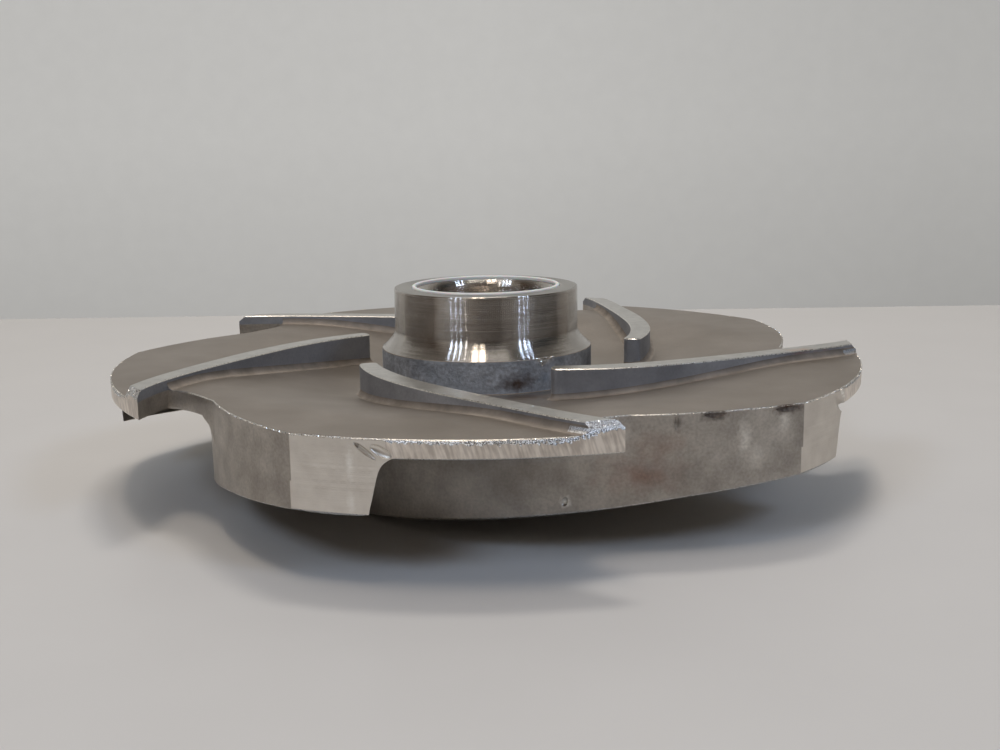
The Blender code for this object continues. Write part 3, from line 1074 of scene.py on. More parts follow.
# A boss or vane wall faces up less than this, and a back face more
BOSS_WALL_UP = 0.3
VANE_WALL_UP = 0.5
BACK_FACE_UP = 0.4


def finish_of(centre, normal):
    """Name the finish of a casting face from where it lies and how it faces."""
    radius, z, up = math.hypot(centre.x, centre.y), centre.z, normal.z
    back, front = back_face_z(radius), front_profile_z(radius)
    if any(radius < outer and z > low for outer, low in BORE_ZONES):
        return "bore"
    if z > HUB_FACE_Z - ON_HUB_FACE and radius > SEAL_OUTER_RADIUS:
        return "hub_face"
    if z > FLARE_EDGE_Z - CORNER_GAP and radius < BOSS_RADIUS:
        return "hub"
    if radius < BOSS_RADIUS + BOSS_REACH and z > back_face_z(BOSS_RADIUS) and up < BOSS_WALL_UP:
        return "boss"
    if WORN_SLANT[0] < up < WORN_SLANT[1]:
        if radius > WORN_RIM_FROM and RIM_FACE_Z - WORN_WIDTH < z < back - ON_BACK_FACE:
            return "edge"
        if radius > OUTER_RADIUS - TORN_WIDTH and z > RIM_FACE_Z + CORNER_GAP:
            return "torn"
        if radius > VANES_FROM and z > BACK_VANE_TOP_Z - WORN_WIDTH:
            return "edge"
    if WORN_FRONT_SLANT[0] < up < WORN_FRONT_SLANT[1] and z < front + WORN_FRONT_WIDTH:
        return "edge"
    if WORN_RIM_SLANT[0] < up < WORN_RIM_SLANT[1] and radius > OUTER_RADIUS - ON_LOWER_CORNER:
        return "edge"
    if radius > OUTER_RADIUS - ON_RIM_WALL:
        on_rim = z > RIM_FACE_Z - RIM_THICKNESS and not on_vane_end(centre)
        return "rim" if on_rim else "turned_tip"
    if nearest(centre, DENTS[:2]) < GROUND_REACH:
        return "turned_tip"
    if z > BACK_VANE_TOP_Z - WORN_WIDTH and radius > VANES_FROM:
        return "vane_top"
    if up < WORN_FRONT_SLANT[1] and z < FRONT_TOP_Z and abs(z - front) < ON_FRONT:
        return "front"
    knocked = nearest(centre, DENTS[2:4]) < KNOCK_REACH and z < RIM_FACE_Z - CORNER_GAP
    if knocked and KNOCK_SLANT[0] < abs(up) < KNOCK_SLANT[1]:
        return "bruise"
    outside_boss = radius > BOSS_RADIUS - ON_BOSS
    if FOOT_SLANT[0] < up < FOOT_SLANT[1] and outside_boss and z > back + ON_BACK_FACE:
        return "foot"
    if z > back + FOOT_HEIGHT and radius > VANES_FROM and up < VANE_WALL_UP:
        return "vane_wall"
    return "back_face" if up > BACK_FACE_UP else "outer_wall"


def nearest(place, dents):
    """How far a place is from the nearest of some dents."""
    return min((place - Vector(spot)).length for spot, _, _ in dents)


def on_vane_end(centre):
    """Whether a place on the rim's cylinder lies on a main vane's turned end."""
    around = math.atan2(centre.y, centre.x) - math.radians(MAIN_START_DEG)
    ends = [(around - main_vane_turn(index)) % math.tau for index in range(VANE_COUNT)]
    return min(ends) < math.radians(VANE_END_DEG)


def front_profile_z(radius):
    """Height that the lathe leaves on the main vanes' lower edges at a radius."""
    (rim, rim_z), (knee, knee_z), (rest, rest_z) = FRONT_PROFILE
    if radius > knee:
        return knee_z + (rim_z - knee_z) * (radius - knee) / (rim - knee)
    if radius > rest:
        return rest_z + (knee_z - rest_z) * (radius - rest) / (knee - rest)
    return rest_z


def paint_casting(casting, finishes):
    """Give every face its finish."""
    names = list(finishes)
    casting.data.materials.clear()
    for name in names:
        casting.data.materials.append(finishes[name])
    for face in casting.data.polygons:
        face.material_index = names.index(finish_of(face.center, face.normal))


# Seal ring and thread

THREAD_STEPS = 72
THREAD_DEPTH = 0.0009
# How far the ridge is sunk into the wall, and how much wall stays plain below and in all
THREAD_SINK = 0.0001
THREAD_RUN_IN = 0.002
THREAD_PLAIN = 0.003


def build_seal_ring(material):
    """A thin ring with a crowned top, seated in the hub's end face."""
    outer = SEAL_OUTER_RADIUS - FIT_GAP
    low = HUB_TOP_Z - SEAL_DEPTH + FIT_GAP
    corners = [
        (outer, low, 0.0),
        (outer, HUB_TOP_Z, SEAL_CROWN),
        (SEAL_INNER_RADIUS, HUB_TOP_Z, SEAL_CROWN),
        (SEAL_INNER_RADIUS, low, 0.0),
    ]
    ring = spun("seal_lip_ring", rounded(corners), closed=True)
    ring.data.materials.append(material)
    smooth_edges(ring, sharp_deg=50.0)
    return ring


def thread_tree():
    """A ridge swept along a helix in the bore's wall."""
    lengths = ("Radius", "Pitch", "Length", "Depth", "Bottom")
    tree, put, given = new_tree("Bore thread", Float=lengths, Material=("Material",))
    turns = put("ShaderNodeMath", given["Length"], given["Pitch"], operation="DIVIDE")
    sources = {
        "Resolution": THREAD_STEPS,
        "Rotations": turns,
        "Start Radius": given["Radius"],
        "End Radius": given["Radius"],
        "Height": given["Length"],
    }
    helix = put("GeometryNodeCurveSpiral", sources)
    flank = put("GeometryNodeCurvePrimitiveCircle", {"Resolution": 4, "Radius": given["Depth"]})
    sources = {"Curve": helix, "Profile Curve": flank, "Fill Caps": True}
    ridge = put("GeometryNodeCurveToMesh", sources)
    lift = put("ShaderNodeCombineXYZ", {"Z": given["Bottom"]})
    ridge = put("GeometryNodeTransform", {"Geometry": ridge, "Translation": lift})
    finish_tree(put, put("GeometryNodeRealizeInstances", ridge), given["Material"])
    return tree


def build_thread(sizes, material):
    values = {
        "Radius": THREAD_RADIUS + THREAD_SINK,
        "Pitch": sizes.thread_pitch,
        "Length": PILOT_FLOOR_Z - THREAD_CHAMFER - THREAD_FLOOR_Z - THREAD_PLAIN,
        "Depth": THREAD_DEPTH,
        "Bottom": THREAD_FLOOR_Z + THREAD_RUN_IN,
        "Material": material,
    }
    thread = run_tree("bore_thread", thread_tree(), values)
    smooth_edges(thread, sharp_deg=40.0)
    return thread


# Burrs

BURR_ROWS = 3
BURR_SIZES = (0.00008, 0.00030)
BURR_SHARE_KEPT = 0.8
# A flake, for a size of 1: its height, how far it is sunk, how it is squashed, and how far it
# may tilt in radians
FLAKE_HEIGHT = 1.6
FLAKE_SINK = 0.5
FLAKE_SCALE = (1.0, 0.6, 1.0)
FLAKE_TILT = 1.2
# How deep the torn band is where a main vane meets the rim, and at the lobe's tip
BURR_BAND = (0.0002, 0.0010)
# How far the rim's burrs sit inside its wall, and below its face
BURR_INSET = 0.0001
BURR_DROP = 0.0002
# How much of a lobe's rim has burrs, from the main vane on
BURR_RIM_SHARE = 0.98
# Rows of burrs on a knocked vane tip: shares of its chamfer, and ends in halves of its width
TIP_ROWS = (0.1, 0.9)
TIP_ENDS = (1.6, -1.1)
# Where the burrs along a main vane's wall start, as a share of its notch, and how many degrees
# before the rim they end
BURR_WALL_SHARE = 0.85
BURR_WALL_END_DEG = 0.5
# The torn patch under the flare: how proud its rows stand, and each row's height, and from
# and to in degrees from +X
FLARE_PROUD = (0.0001, 0.0002, 0.0003)
FLARE_BURRS = (
    (0.0426, 296.0, 307.0),
    (0.0423, 296.5, 306.5),
    (0.0420, 297.0, 305.0),
    (0.0416, 297.5, 303.5),
    (0.0412, 298.0, 302.0),
    (0.0408, 298.6, 301.4),
    (0.0403, 299.2, 300.8),
)


def burr_tree():
    """Small torn flakes along an edge, each turned and sized at random."""
    tree, put, given = new_tree(
        "Burrs",
        Float=("Spacing", "Smallest", "Largest", "Share kept"),
        Int=("Seed",),
        Object=("Edge",),
        Material=("Material",),
    )
    edge = put("GeometryNodeObjectInfo", {"Object": given["Edge"]})
    path = put("GeometryNodeMeshToCurve", edge.outputs["Geometry"])
    sources = {"Curve": path, "Length": given["Spacing"]}
    path = put("GeometryNodeResampleCurve", sources, mode="LENGTH")
    sources = {"Vertices": 3, "Radius Top": 0.0, "Radius Bottom": 1.0, "Depth": FLAKE_HEIGHT}
    flake = put("GeometryNodeMeshCone", sources, fill_type="NGON")
    sources = {"Geometry": flake, "Translation": (0.0, 0.0, -FLAKE_SINK), "Scale": FLAKE_SCALE}
    squashed = put("GeometryNodeTransform", sources)
    seed = {"Seed": given["Seed"]}
    turns = {0: (-FLAKE_TILT, -FLAKE_TILT, 0.0), 1: (FLAKE_TILT, FLAKE_TILT, math.tau)}
    scales = {2: given["Smallest"], 3: given["Largest"]}
    kept = {"Probability": given["Share kept"]}
    keep_flake, turn, size = (
        put("FunctionNodeRandomValue", {**values, **seed}, data_type=kind)
        for values, kind in ((kept, "BOOLEAN"), (turns, "FLOAT_VECTOR"), (scales, "FLOAT"))
    )
    sources = {
        "Points": path,
        "Selection": keep_flake,
        "Instance": squashed,
        "Rotation": turn,
        "Scale": size,
    }
    flakes = put("GeometryNodeInstanceOnPoints", sources)
    finish_tree(put, put("GeometryNodeRealizeInstances", flakes), given["Material"])
    return tree


def edge_object(name, strokes):
    """Separate lines of points in space, for burrs to sit on."""
    work = bmesh.new()
    for stroke in strokes:
        corners = [work.verts.new(point) for point in stroke]
        for pair in zip(corners, corners[1:]):
            work.edges.new(pair)
    return mesh_object(name, work)


def burr_strokes(sizes):
    """Where the burrs sit: rim edges, knocked vane tips, lobe edges and one flare patch."""
    strokes = []
    for index in range(VANE_COUNT):
        start = math.radians(MAIN_START_DEG) + main_vane_turn(index)
        turn = math.tau * index / VANE_COUNT
        end = back_vane_angle(OUTER_RADIUS) + back_vane_ease(OUTER_RADIUS, index) + turn
        span = (end - start) % math.tau
        for row in spread_evenly(0.0, 1.0, steps=BURR_ROWS - 1):
            stroke = []
            for share in spread_evenly(0.0, BURR_RIM_SHARE, steps=80):
                band = BURR_BAND[0] + (BURR_BAND[1] - BURR_BAND[0]) * share**2
                flat = polar(OUTER_RADIUS - BURR_INSET, start + span * share)
                stroke.append((*flat, RIM_FACE_Z - BURR_DROP - band * row))
            strokes.append(stroke)
        tip_width = 2.0 * BACK_HALF_WIDTHS[-1][1] / OUTER_RADIUS
        for row in spread_evenly(*TIP_ROWS, steps=7):
            radius = OUTER_RADIUS - sizes.tip_break * row
            z = BACK_VANE_TOP_Z - sizes.tip_break * TIP_BREAK_SLOPE * (1.0 - row)
            sides = [end - tip_width * 0.5 * side for side in TIP_ENDS]
            strokes.append([(*polar(radius, angle), z) for angle in sides])
        stroke = []
        first = NOTCH_FLOOR_DEG[index] * BURR_WALL_SHARE
        for degrees in spread_evenly(first, BURR_WALL_END_DEG, steps=30):
            wall = spiral_point(math.radians(degrees), main_vane_turn(index))
            stroke.append((*wall, RIM_FACE_Z - BURR_DROP))
        strokes.append(stroke)
    for z, first, last in FLARE_BURRS:
        angles = spread_evenly(math.radians(first), math.radians(last), steps=6)
        for proud in FLARE_PROUD:
            strokes.append([(*polar(BOSS_RADIUS + proud, angle), z) for angle in angles])
    return strokes


def build_burrs(sizes, material):
    values = {
        "Spacing": sizes.burr_spacing,
        "Smallest": BURR_SIZES[0],
        "Largest": BURR_SIZES[1],
        "Share kept": BURR_SHARE_KEPT,
        "Seed": sizes.seed,
        "Edge": edge_object("burr_edge", burr_strokes(sizes)),
        "Material": material,
    }
    burrs = run_tree("rim_burrs", burr_tree(), values)
    burrs.data.shade_flat()
    return burrs


# Materials

# Between which values most of a noise lies, and of one without detail
NOISE_RANGE = (0.3, 0.7)
RING_RANGE = (0.2, 0.8)

# Turned faces: the tool's marks, 0.02 mm apart and too fine to show one by one, and patches
TOOL_MARK_PITCH = 0.00002
TURNED_PATCH = 0.006

# How much of what the lumps darken a skin they brighten it
BRIGHT_SHARE = 0.7

# Stains and patches of painted light and shade: how many rags a reach has, how far they go, and
# between which distances one fades
TINT_RAGS = 1.4
TINT_RAGGEDNESS = 1.4
TINT_FADE = (0.7, 1.6)

# Chatter marks on the rim: how far they lean, how much they are drawn out upwards, the range
# of marks and patches together, and how wide those patches are
MARK_LEAN = 0.3
MARK_SQUASH = 0.16
MARK_RANGE = (0.8, 1.2)
RIM_PATCH = 0.005

# The rim's torn lip: how deep it is at first and at a lobe's tip, its relief against the marks,
# how far it climbs at the lobe's tip, and how steeply it leans back
LIP_BAND = (0.0008, 0.0019)
LIP_RELIEF = 2.5
LIP_RISE = 0.0028
LIP_TILT = 0.85
# Between which shares of the way from one main vane to the next it deepens and climbs
LIP_DEEPENS = (0.14, 0.56)
LIP_CLIMBS = (0.46, 0.54)
# Its ragged edge: how wide a rag is, how much the rags change its depth, and how soft they end
LIP_RAG = 0.0009
LIP_RAGGEDNESS = (0.5, 1.4)
LIP_BLUR = 0.00008
# Its torn crumbs, about 0.3 mm across, painted white where they stand up as glints and dark where
# they sink as shade
CRUMB = 0.0003
CRUMB_RANGE = (0.42, 0.56)
CRUMB_PAINTED_SHADE = "#6A6661"
CRUMB_PAINTED_GLINT = "#FFFFFF"


def new_material(name):
    """An empty node material, and what adds its nodes."""
    material = bpy.data.materials.new(name)
    material.use_nodes = True
    material.node_tree.nodes.clear()
    return material, partial(add_node, material.node_tree)


def close_material(put, colour, roughness, others):
    """Give a material its one shader, fed by name."""
    sources = {"Base Color": colour, "Roughness": roughness, **others}
    put("ShaderNodeOutputMaterial", put("ShaderNodeBsdfPrincipled", sources))


def patchy(put, place, patch, light, dark):
    """Two tints in soft patches: the patches, and the colour that they give."""
    patches = put("ShaderNodeTexNoise", {"Vector": place, "Scale": 1.0 / patch, "Detail": 3.0})
    share = put("ShaderNodeMapRange", patches, *NOISE_RANGE)
    tints = {0: share, 6: linear(dark), 7: linear(light)}
    return patches, put("ShaderNodeMix", tints, data_type="RGBA")


def uneven(put, place, colour, patch, darkest):
    """A plain colour with faint broad patches, the darkest a share of the colour."""
    patches = put("ShaderNodeTexNoise", {"Vector": place, "Scale": 1.0 / patch, "Detail": 3.0})
    low = (*[part * darkest for part in colour], 1.0)
    return put("ShaderNodeMix", {0: patches, 6: low, 7: (*colour, 1.0)}, data_type="RGBA")


def with_stains_and_painted_light(put, place, colour, stains_and_painted_light):
    """Lay soft-edged stains and patches of painted light and shade over a colour: each has a centre,
    reach, strength and tint.
    """
    for centre, reach, strength, tint in stains_and_painted_light:
        shift = put("ShaderNodeVectorMath", place, centre, operation="SUBTRACT")
        shrink = tuple(1.0 / length for length in reach)
        scaled = put("ShaderNodeVectorMath", shift, shrink, operation="MULTIPLY")
        away = put("ShaderNodeVectorMath", scaled, operation="LENGTH")
        sources = {"Vector": place, "Scale": TINT_RAGS / min(reach), "Detail": 4.0}
        ragged = put("ShaderNodeTexNoise", sources)
        far = put("ShaderNodeMath", ragged, TINT_RAGGEDNESS, away, operation="MULTIPLY_ADD")
        share = put("ShaderNodeMapRange", far, *TINT_FADE, strength, 0.0)
        colour = put("ShaderNodeMix", {0: share, 6: colour, 7: linear(tint)}, data_type="RGBA")
    return colour


def steel(name, light, dark, patch, roughness, grain, depth, stains_and_painted_light=(), speckle=0.12):
    """A steel skin: two tints in soft patches, small lumps that dent it and uneven gloss.

    patch is how wide the tint's patches are, grain and depth are how wide and how high
    the lumps are, all in metres. speckle is how much the lumps shade the colour.
    """
    material, put = new_material(name)
    place = put("ShaderNodeTexCoord").outputs["Object"]
    _, colour = patchy(put, place, patch, light, dark)
    colour = with_stains_and_painted_light(put, place, colour, stains_and_painted_light)
    lumps = put("ShaderNodeTexNoise", {"Vector": place, "Scale": 1.0 / grain, "Detail": 4.0})
    shades = (1.0 - speckle, 1.0 + speckle * BRIGHT_SHARE)
    shade = put("ShaderNodeMapRange", lumps, *NOISE_RANGE, *shades)
    colour = put("ShaderNodeVectorMath", {"Vector": colour, "Scale": shade}, operation="SCALE")
    gloss = put("ShaderNodeMapRange", lumps, *NOISE_RANGE, *roughness)
    bump = put("ShaderNodeBump", {"Strength": 1.0, "Distance": depth, "Height": lumps})
    close_material(put, colour, gloss, {"Normal": bump, "Metallic": 1.0})
    return material


def axis_places(put):
    """Object coordinates, and places measured from the shaft axis.

    The second is (distance from the axis, 0, height) and the third is the angle.
    """
    place = put("ShaderNodeTexCoord").outputs["Object"]
    split = put("ShaderNodeSeparateXYZ", place)
    x, y, z = (split.outputs[name] for name in "XYZ")
    plan = put("ShaderNodeCombineXYZ", x, y, 0.0)
    radius = put("ShaderNodeVectorMath", plan, operation="LENGTH")
    profile = put("ShaderNodeCombineXYZ", radius, 0.0, z)
    return place, profile, put("ShaderNodeMath", y, x, operation="ARCTAN2")


def turned_steel(name, light, dark, roughness, anisotropy, tilt, stains_and_painted_light=()):
    """Turned steel: rings round the axis, each tilted a little, stretch every highlight.

    tilt is how far a ring leans at most, in radians.
    """
    material, put = new_material(name)
    place, profile, _ = axis_places(put)
    sources = {"Vector": profile, "Scale": 1.0 / TOOL_MARK_PITCH, "Detail": 0.0}
    rings = put("ShaderNodeTexNoise", sources)
    patches, colour = patchy(put, place, TURNED_PATCH, light, dark)
    colour = with_stains_and_painted_light(put, place, colour, stains_and_painted_light)
    gloss = put("ShaderNodeMapRange", patches, *NOISE_RANGE, *roughness)
    tangent = put("ShaderNodeTangent", direction_type="RADIAL", axis="Z")
    facing = put("ShaderNodeNewGeometry").outputs["Normal"]
    along = put("ShaderNodeVectorMath", tangent, facing, operation="CROSS_PRODUCT")
    lean = put("ShaderNodeMapRange", rings, *RING_RANGE, -tilt, tilt, clamp=False)
    push = put("ShaderNodeVectorMath", {"Vector": along, "Scale": lean}, operation="SCALE")
    tilted = put("ShaderNodeVectorMath", facing, push, operation="ADD")
    tilted = put("ShaderNodeVectorMath", tilted, operation="NORMALIZE")
    others = {"Normal": tilted, "Tangent": tangent, "Anisotropic": anisotropy, "Metallic": 1.0}
    close_material(put, colour, gloss, others)
    return material


def torn_lip(put, place, angle, height):
    """How torn the rim is at a place: a ragged band that deepens towards each lobe's tip."""
    pitch = math.tau / VANE_COUNT
    past = put("ShaderNodeMath", angle, math.radians(MAIN_START_DEG), operation="SUBTRACT")
    past = put("ShaderNodeMath", past, pitch, operation="FLOORED_MODULO")
    share = put("ShaderNodeMapRange", past, *(end * pitch for end in LIP_DEEPENS))
    band = put("ShaderNodeMapRange", share, 0.0, 1.0, *LIP_BAND)
    tops = (RIM_FACE_Z, RIM_FACE_Z + LIP_RISE)
    top = put("ShaderNodeMapRange", past, *(end * pitch for end in LIP_CLIMBS), *tops)
    ragged = put("ShaderNodeTexNoise", {"Vector": place, "Scale": 1.0 / LIP_RAG, "Detail": 3.0})
    ragged = put("ShaderNodeMapRange", ragged, *NOISE_RANGE, *LIP_RAGGEDNESS)
    reach = put("ShaderNodeMath", band, ragged, operation="MULTIPLY")
    below = put("ShaderNodeMath", top, height, operation="SUBTRACT")
    left = put("ShaderNodeMath", reach, below, operation="SUBTRACT")
    return put("ShaderNodeMapRange", left, -LIP_BLUR, LIP_BLUR)


def chattered_steel(name, light, dark, roughness, pitch, depth):
    """Turned rim: short upright chatter marks, under a lip that the tool tore.

    pitch is how wide a mark is and depth is how deep it is, both in metres.
    """
    material, put = new_material(name)
    place, _, angle = axis_places(put)
    height = put("ShaderNodeSeparateXYZ", place).outputs["Z"]
    leaning = put("ShaderNodeMath", height, MARK_LEAN, operation="MULTIPLY")
    arc = put("ShaderNodeMath", angle, OUTER_RADIUS, leaning, operation="MULTIPLY_ADD")
    slow = put("ShaderNodeMath", height, MARK_SQUASH, operation="MULTIPLY")
    row = put("ShaderNodeCombineXYZ", arc, 0.0, slow)
    marks = put("ShaderNodeTexNoise", {"Vector": row, "Scale": 1.0 / pitch, "Detail": 1.0})
    sources = {"Vector": place, "Scale": 1.0 / RIM_PATCH, "Detail": 3.0}
    patches = put("ShaderNodeTexNoise", sources)
    both = put("ShaderNodeMath", marks, patches, operation="ADD")
    share = put("ShaderNodeMapRange", both, *MARK_RANGE)
    tints = {0: share, 6: linear(dark), 7: linear(light)}
    colour = put("ShaderNodeMix", tints, data_type="RGBA")

    # The torn lip over the marks: a real torn band, its crumbs painted light and dark in step with
    # their relief, as glints and shade
    crumbs = put("ShaderNodeTexNoise", {"Vector": place, "Scale": 1.0 / CRUMB, "Detail": 1.0})
    share = put("ShaderNodeMapRange", crumbs, *CRUMB_RANGE)
    tints = {0: share, 6: linear(CRUMB_PAINTED_SHADE), 7: linear(CRUMB_PAINTED_GLINT)}
    crumb_glint_and_shade = put("ShaderNodeMix", tints, data_type="RGBA")
    torn = torn_lip(put, place, angle, height)
    colour = put("ShaderNodeMix", {0: torn, 6: colour, 7: crumb_glint_and_shade}, data_type="RGBA")
    tilt = LIP_TILT / (LIP_RELIEF * depth)
    lean = put("ShaderNodeMath", height, tilt, operation="MULTIPLY")
    leaning_crumbs = put("ShaderNodeMath", crumbs, lean, operation="SUBTRACT")
    relief = put("ShaderNodeMath", torn, leaning_crumbs, operation="MULTIPLY")
    relief = put("ShaderNodeMath", relief, LIP_RELIEF, marks, operation="MULTIPLY_ADD")
    gloss = put("ShaderNodeMapRange", patches, *NOISE_RANGE, *roughness)
    bump = put("ShaderNodeBump", {"Strength": 1.0, "Distance": depth, "Height": relief})
    close_material(put, colour, gloss, {"Normal": bump, "Metallic": 1.0})
    return material


# Stains, and patches of painted light and shade: centre, reach along X, Y and Z, strength and tint
BOSS_STAINS_LIGHT_AND_SHADE = (
    ((0.0100, -0.0345, 0.0352), (0.0090, 0.006, 0.0038), 0.90, "#5A4432"),
    # Painted cool light: a bluish patch on the front of the boss
    ((0.0186, -0.0307, 0.0358), (0.004, 0.004, 0.0030), 0.40, "#8FA0B4"),
    # Painted shade: the right side of the boss darker
    ((0.0345, -0.0110, 0.0370), (0.012, 0.015, 0.0150), 0.75, "#5E6064"),
    # A torn spot under the flare, painted white as its glints
    ((0.0184, -0.0300, 0.0416), (0.0048, 0.0048, 0.0017), 0.95, "#FFFFFF"),
)
FOOT_STAINS = (
    ((0.0134, -0.0400, 0.0316), (0.011, 0.007, 0.0040), 0.60, "#6B5138"),
    ((-0.0133, -0.0837, 0.0310), (0.030, 0.004, 0.0200), 0.15, "#7C6A58"),
)
WALL_STAINS_AND_PAINTED_LIGHT = (
    # Painted light: the first three make the walls of two back vanes lighter where they face the
    # front
    ((0.0520, -0.0300, 0.0360), (0.075, 0.022, 0.0300), 0.95, "#CFCFD1"),
    ((0.0280, -0.0300, 0.0360), (0.026, 0.020, 0.0300), 0.90, "#F6F6F6"),
    ((-0.0100, -0.0850, 0.0360), (0.040, 0.045, 0.0300), 0.75, "#D0D0D2"),
    ((0.0160, -0.0360, 0.0322), (0.008, 0.006, 0.0040), 0.60, "#5F4835"),
    ((0.1115, -0.0214, 0.0397), (0.007, 0.006, 0.0035), 0.45, "#B9794C"),
    ((0.1022, -0.0254, 0.0410), (0.006, 0.006, 0.0030), 0.40, "#A8643E"),
)
TOP_STAINS = (((0.1040, -0.0240, 0.0423), (0.010, 0.005, 0.0040), 0.45, "#C48A58"),)
OUTER_STAINS_AND_PAINTED_SHADE = (
    ((0.0409, -0.0999, 0.0220), (0.016, 0.012, 0.0070), 0.50, "#8B5F4E"),
    ((0.0463, -0.0997, 0.0300), (0.012, 0.012, 0.0060), 0.35, "#94705C"),
    ((0.0702, -0.0954, 0.0310), (0.0026, 0.010, 0.0070), 0.85, "#E4DFD6"),
    ((0.0735, -0.0948, 0.0250), (0.0034, 0.010, 0.0045), 0.70, "#DAD5CC"),
    ((0.0820, -0.0912, 0.0345), (0.0024, 0.010, 0.0050), 0.80, "#E4DFD6"),
    ((0.0206, -0.0982, 0.0145), (0.0022, 0.005, 0.0022), 0.90, "#F4F1EA"),
    ((0.0512, -0.0993, 0.0364), (0.0016, 0.005, 0.0034), 0.60, "#5F5750"),
    ((0.0614, -0.0976, 0.0380), (0.0052, 0.006, 0.0022), 0.90, "#3A3532"),
    ((0.0828, -0.0905, 0.0380), (0.0060, 0.007, 0.0022), 0.85, "#4A3A34"),
    # Painted shade: darker low on the main vane walls under the front of the shroud
    ((0.0050, -0.1000, 0.0270), (0.0300, 0.030, 0.0240), 0.40, "#5E5955"),
    ((0.0828, -0.0909, 0.0380), (0.0055, 0.010, 0.0013), 0.85, "#4B2E24"),
    # Painted shade: darker low on a wall under the shroud
    ((0.0590, -0.0980, 0.0200), (0.020, 0.014, 0.0080), 0.30, "#7D756C"),
    ((-0.0640, -0.0960, 0.0220), (0.012, 0.020, 0.0100), 0.25, "#8C847A"),
)
TIP_STAINS_AND_PAINTED_HIGHLIGHT = (
    ((0.1100, -0.0600, 0.0200), (0.022, 0.022, 0.0260), 0.60, "#BFB9B1"),
    # Painted highlight: an upright bright streak on a turned vane end
    ((-0.0354, -0.1198, 0.0320), (0.0014, 0.010, 0.0060), 0.55, "#FFFDF8"),
    ((-0.0354, -0.1198, 0.0220), (0.0016, 0.010, 0.0045), 0.45, "#FFFDF8"),
)


def casting_finishes():
    """Every finish on the casting, by the name that finish_of gives it."""
    return {
        # Bored stainless: fine rings stretch each lamp into an upright bar
        "bore": turned_steel(
            "bored_steel", "#D5CFC8", "#B5AFA8",
            roughness=(0.07, 0.10), anisotropy=0.5, tilt=0.5,
        ),
        # Faced stainless: level rings, an even satin grey
        "hub_face": turned_steel(
            "faced_steel", "#9B9A97", "#908F8B",
            roughness=(0.40, 0.48), anisotropy=0.3, tilt=0.1,
        ),
        # Finely turned stainless: nearly a mirror round the hub, with crisp upright lines
        "hub": turned_steel(
            "turned_steel", "#C4BFB9", "#B2ADA7",
            roughness=(0.06, 0.09), anisotropy=0.5, tilt=0.6,
        ),
        # Vane ends turned with the rim: satin, level rings, with a painted upright highlight
        "turned_tip": turned_steel(
            "turned_tip", "#E3DDD4", "#D3CCC3",
            roughness=(0.30, 0.36), anisotropy=0.8, tilt=0.25, stains_and_painted_light=TIP_STAINS_AND_PAINTED_HIGHLIGHT,
        ),
        # Turned rim that chattered: bright, with short upright marks
        "rim": chattered_steel(
            "chattered_rim", "#F3EADF", "#C9BFB5",
            roughness=(0.32, 0.42), pitch=0.0009, depth=0.00005,
        ),
        # Cast stainless left as it came: dull, bluish and gritty, with painted cool light and
        # painted shade in soft patches
        "boss": steel(
            "cast_boss_skin", "#CFD3D8", "#A9ADB3", patch=0.006, roughness=(0.55, 0.68),
            grain=0.0011, depth=0.00022, stains_and_painted_light=BOSS_STAINS_LIGHT_AND_SHADE, speckle=0.22,
        ),
        # Sharp corners rubbed bright: a thin broken line of light
        "edge": steel(
            "worn_edge", "#F4F0E9", "#D5D1CA", patch=0.001, roughness=(0.24, 0.34),
            grain=0.0004, depth=0.00008,
        ),
        # Torn corners: crumbly facets that glint
        "torn": steel(
            "torn_edge", "#FFFFFF", "#8C8884", patch=0.0003, roughness=(0.28, 0.46),
            grain=0.0003, depth=0.00007,
        ),
        # Milled vane tops: even and satin, the lightest level faces
        "vane_top": steel(
            "milled_vane_top", "#CDCBC6", "#BAB8B3", patch=0.004, roughness=(0.28, 0.38),
            grain=0.0006, depth=0.00001, stains_and_painted_light=TOP_STAINS,
        ),
        # Turned lower edges of the main vanes: satin
        "front": steel(
            "turned_front", "#B7B2A8", "#9F998F", patch=0.004, roughness=(0.30, 0.42),
            grain=0.0006, depth=0.00001,
        ),
        # Blasted cast walls of the back vanes: dull, slightly bluish, with stains, and painted light
        # where they face the front
        "vane_wall": steel(
            "blasted_vane_wall", "#ABABAE", "#999A9D", patch=0.010, roughness=(0.62, 0.74),
            grain=0.0008, depth=0.00006, stains_and_painted_light=WALL_STAINS_AND_PAINTED_LIGHT,
        ),
        # Feet of the back vanes, missed by the polishing: dull brownish grey, no shine
        "foot": steel(
            "dull_vane_foot", "#B0A69B", "#938A80", patch=0.006, roughness=(0.72, 0.84),
            grain=0.0008, depth=0.00004,
        ),
        # Knocked spots under the rim's corner: dark, dull bruises
        "bruise": steel(
            "bruised_corner", "#857A70", "#5C524B", patch=0.001, roughness=(0.60, 0.75),
            grain=0.0006, depth=0.00004,
        ),
        # Polished back face: smooth warm grey with broad soft shine
        "back_face": steel(
            "polished_back_face", "#9A9188", "#8C8379", patch=0.020, roughness=(0.40, 0.48),
            grain=0.0010, depth=0.00001, stains_and_painted_light=FOOT_STAINS,
        ),
        # Cast main vane walls, rubbed and heat stained: mottled brown and grey, with painted shade
        # low under the shroud
        "outer_wall": steel(
            "rubbed_outer_wall", "#C3BCB3", "#A19A92", patch=0.009, roughness=(0.42, 0.52),
            grain=0.0008, depth=0.00004, stains_and_painted_light=OUTER_STAINS_AND_PAINTED_SHADE, speckle=0.16,
        ),
    }


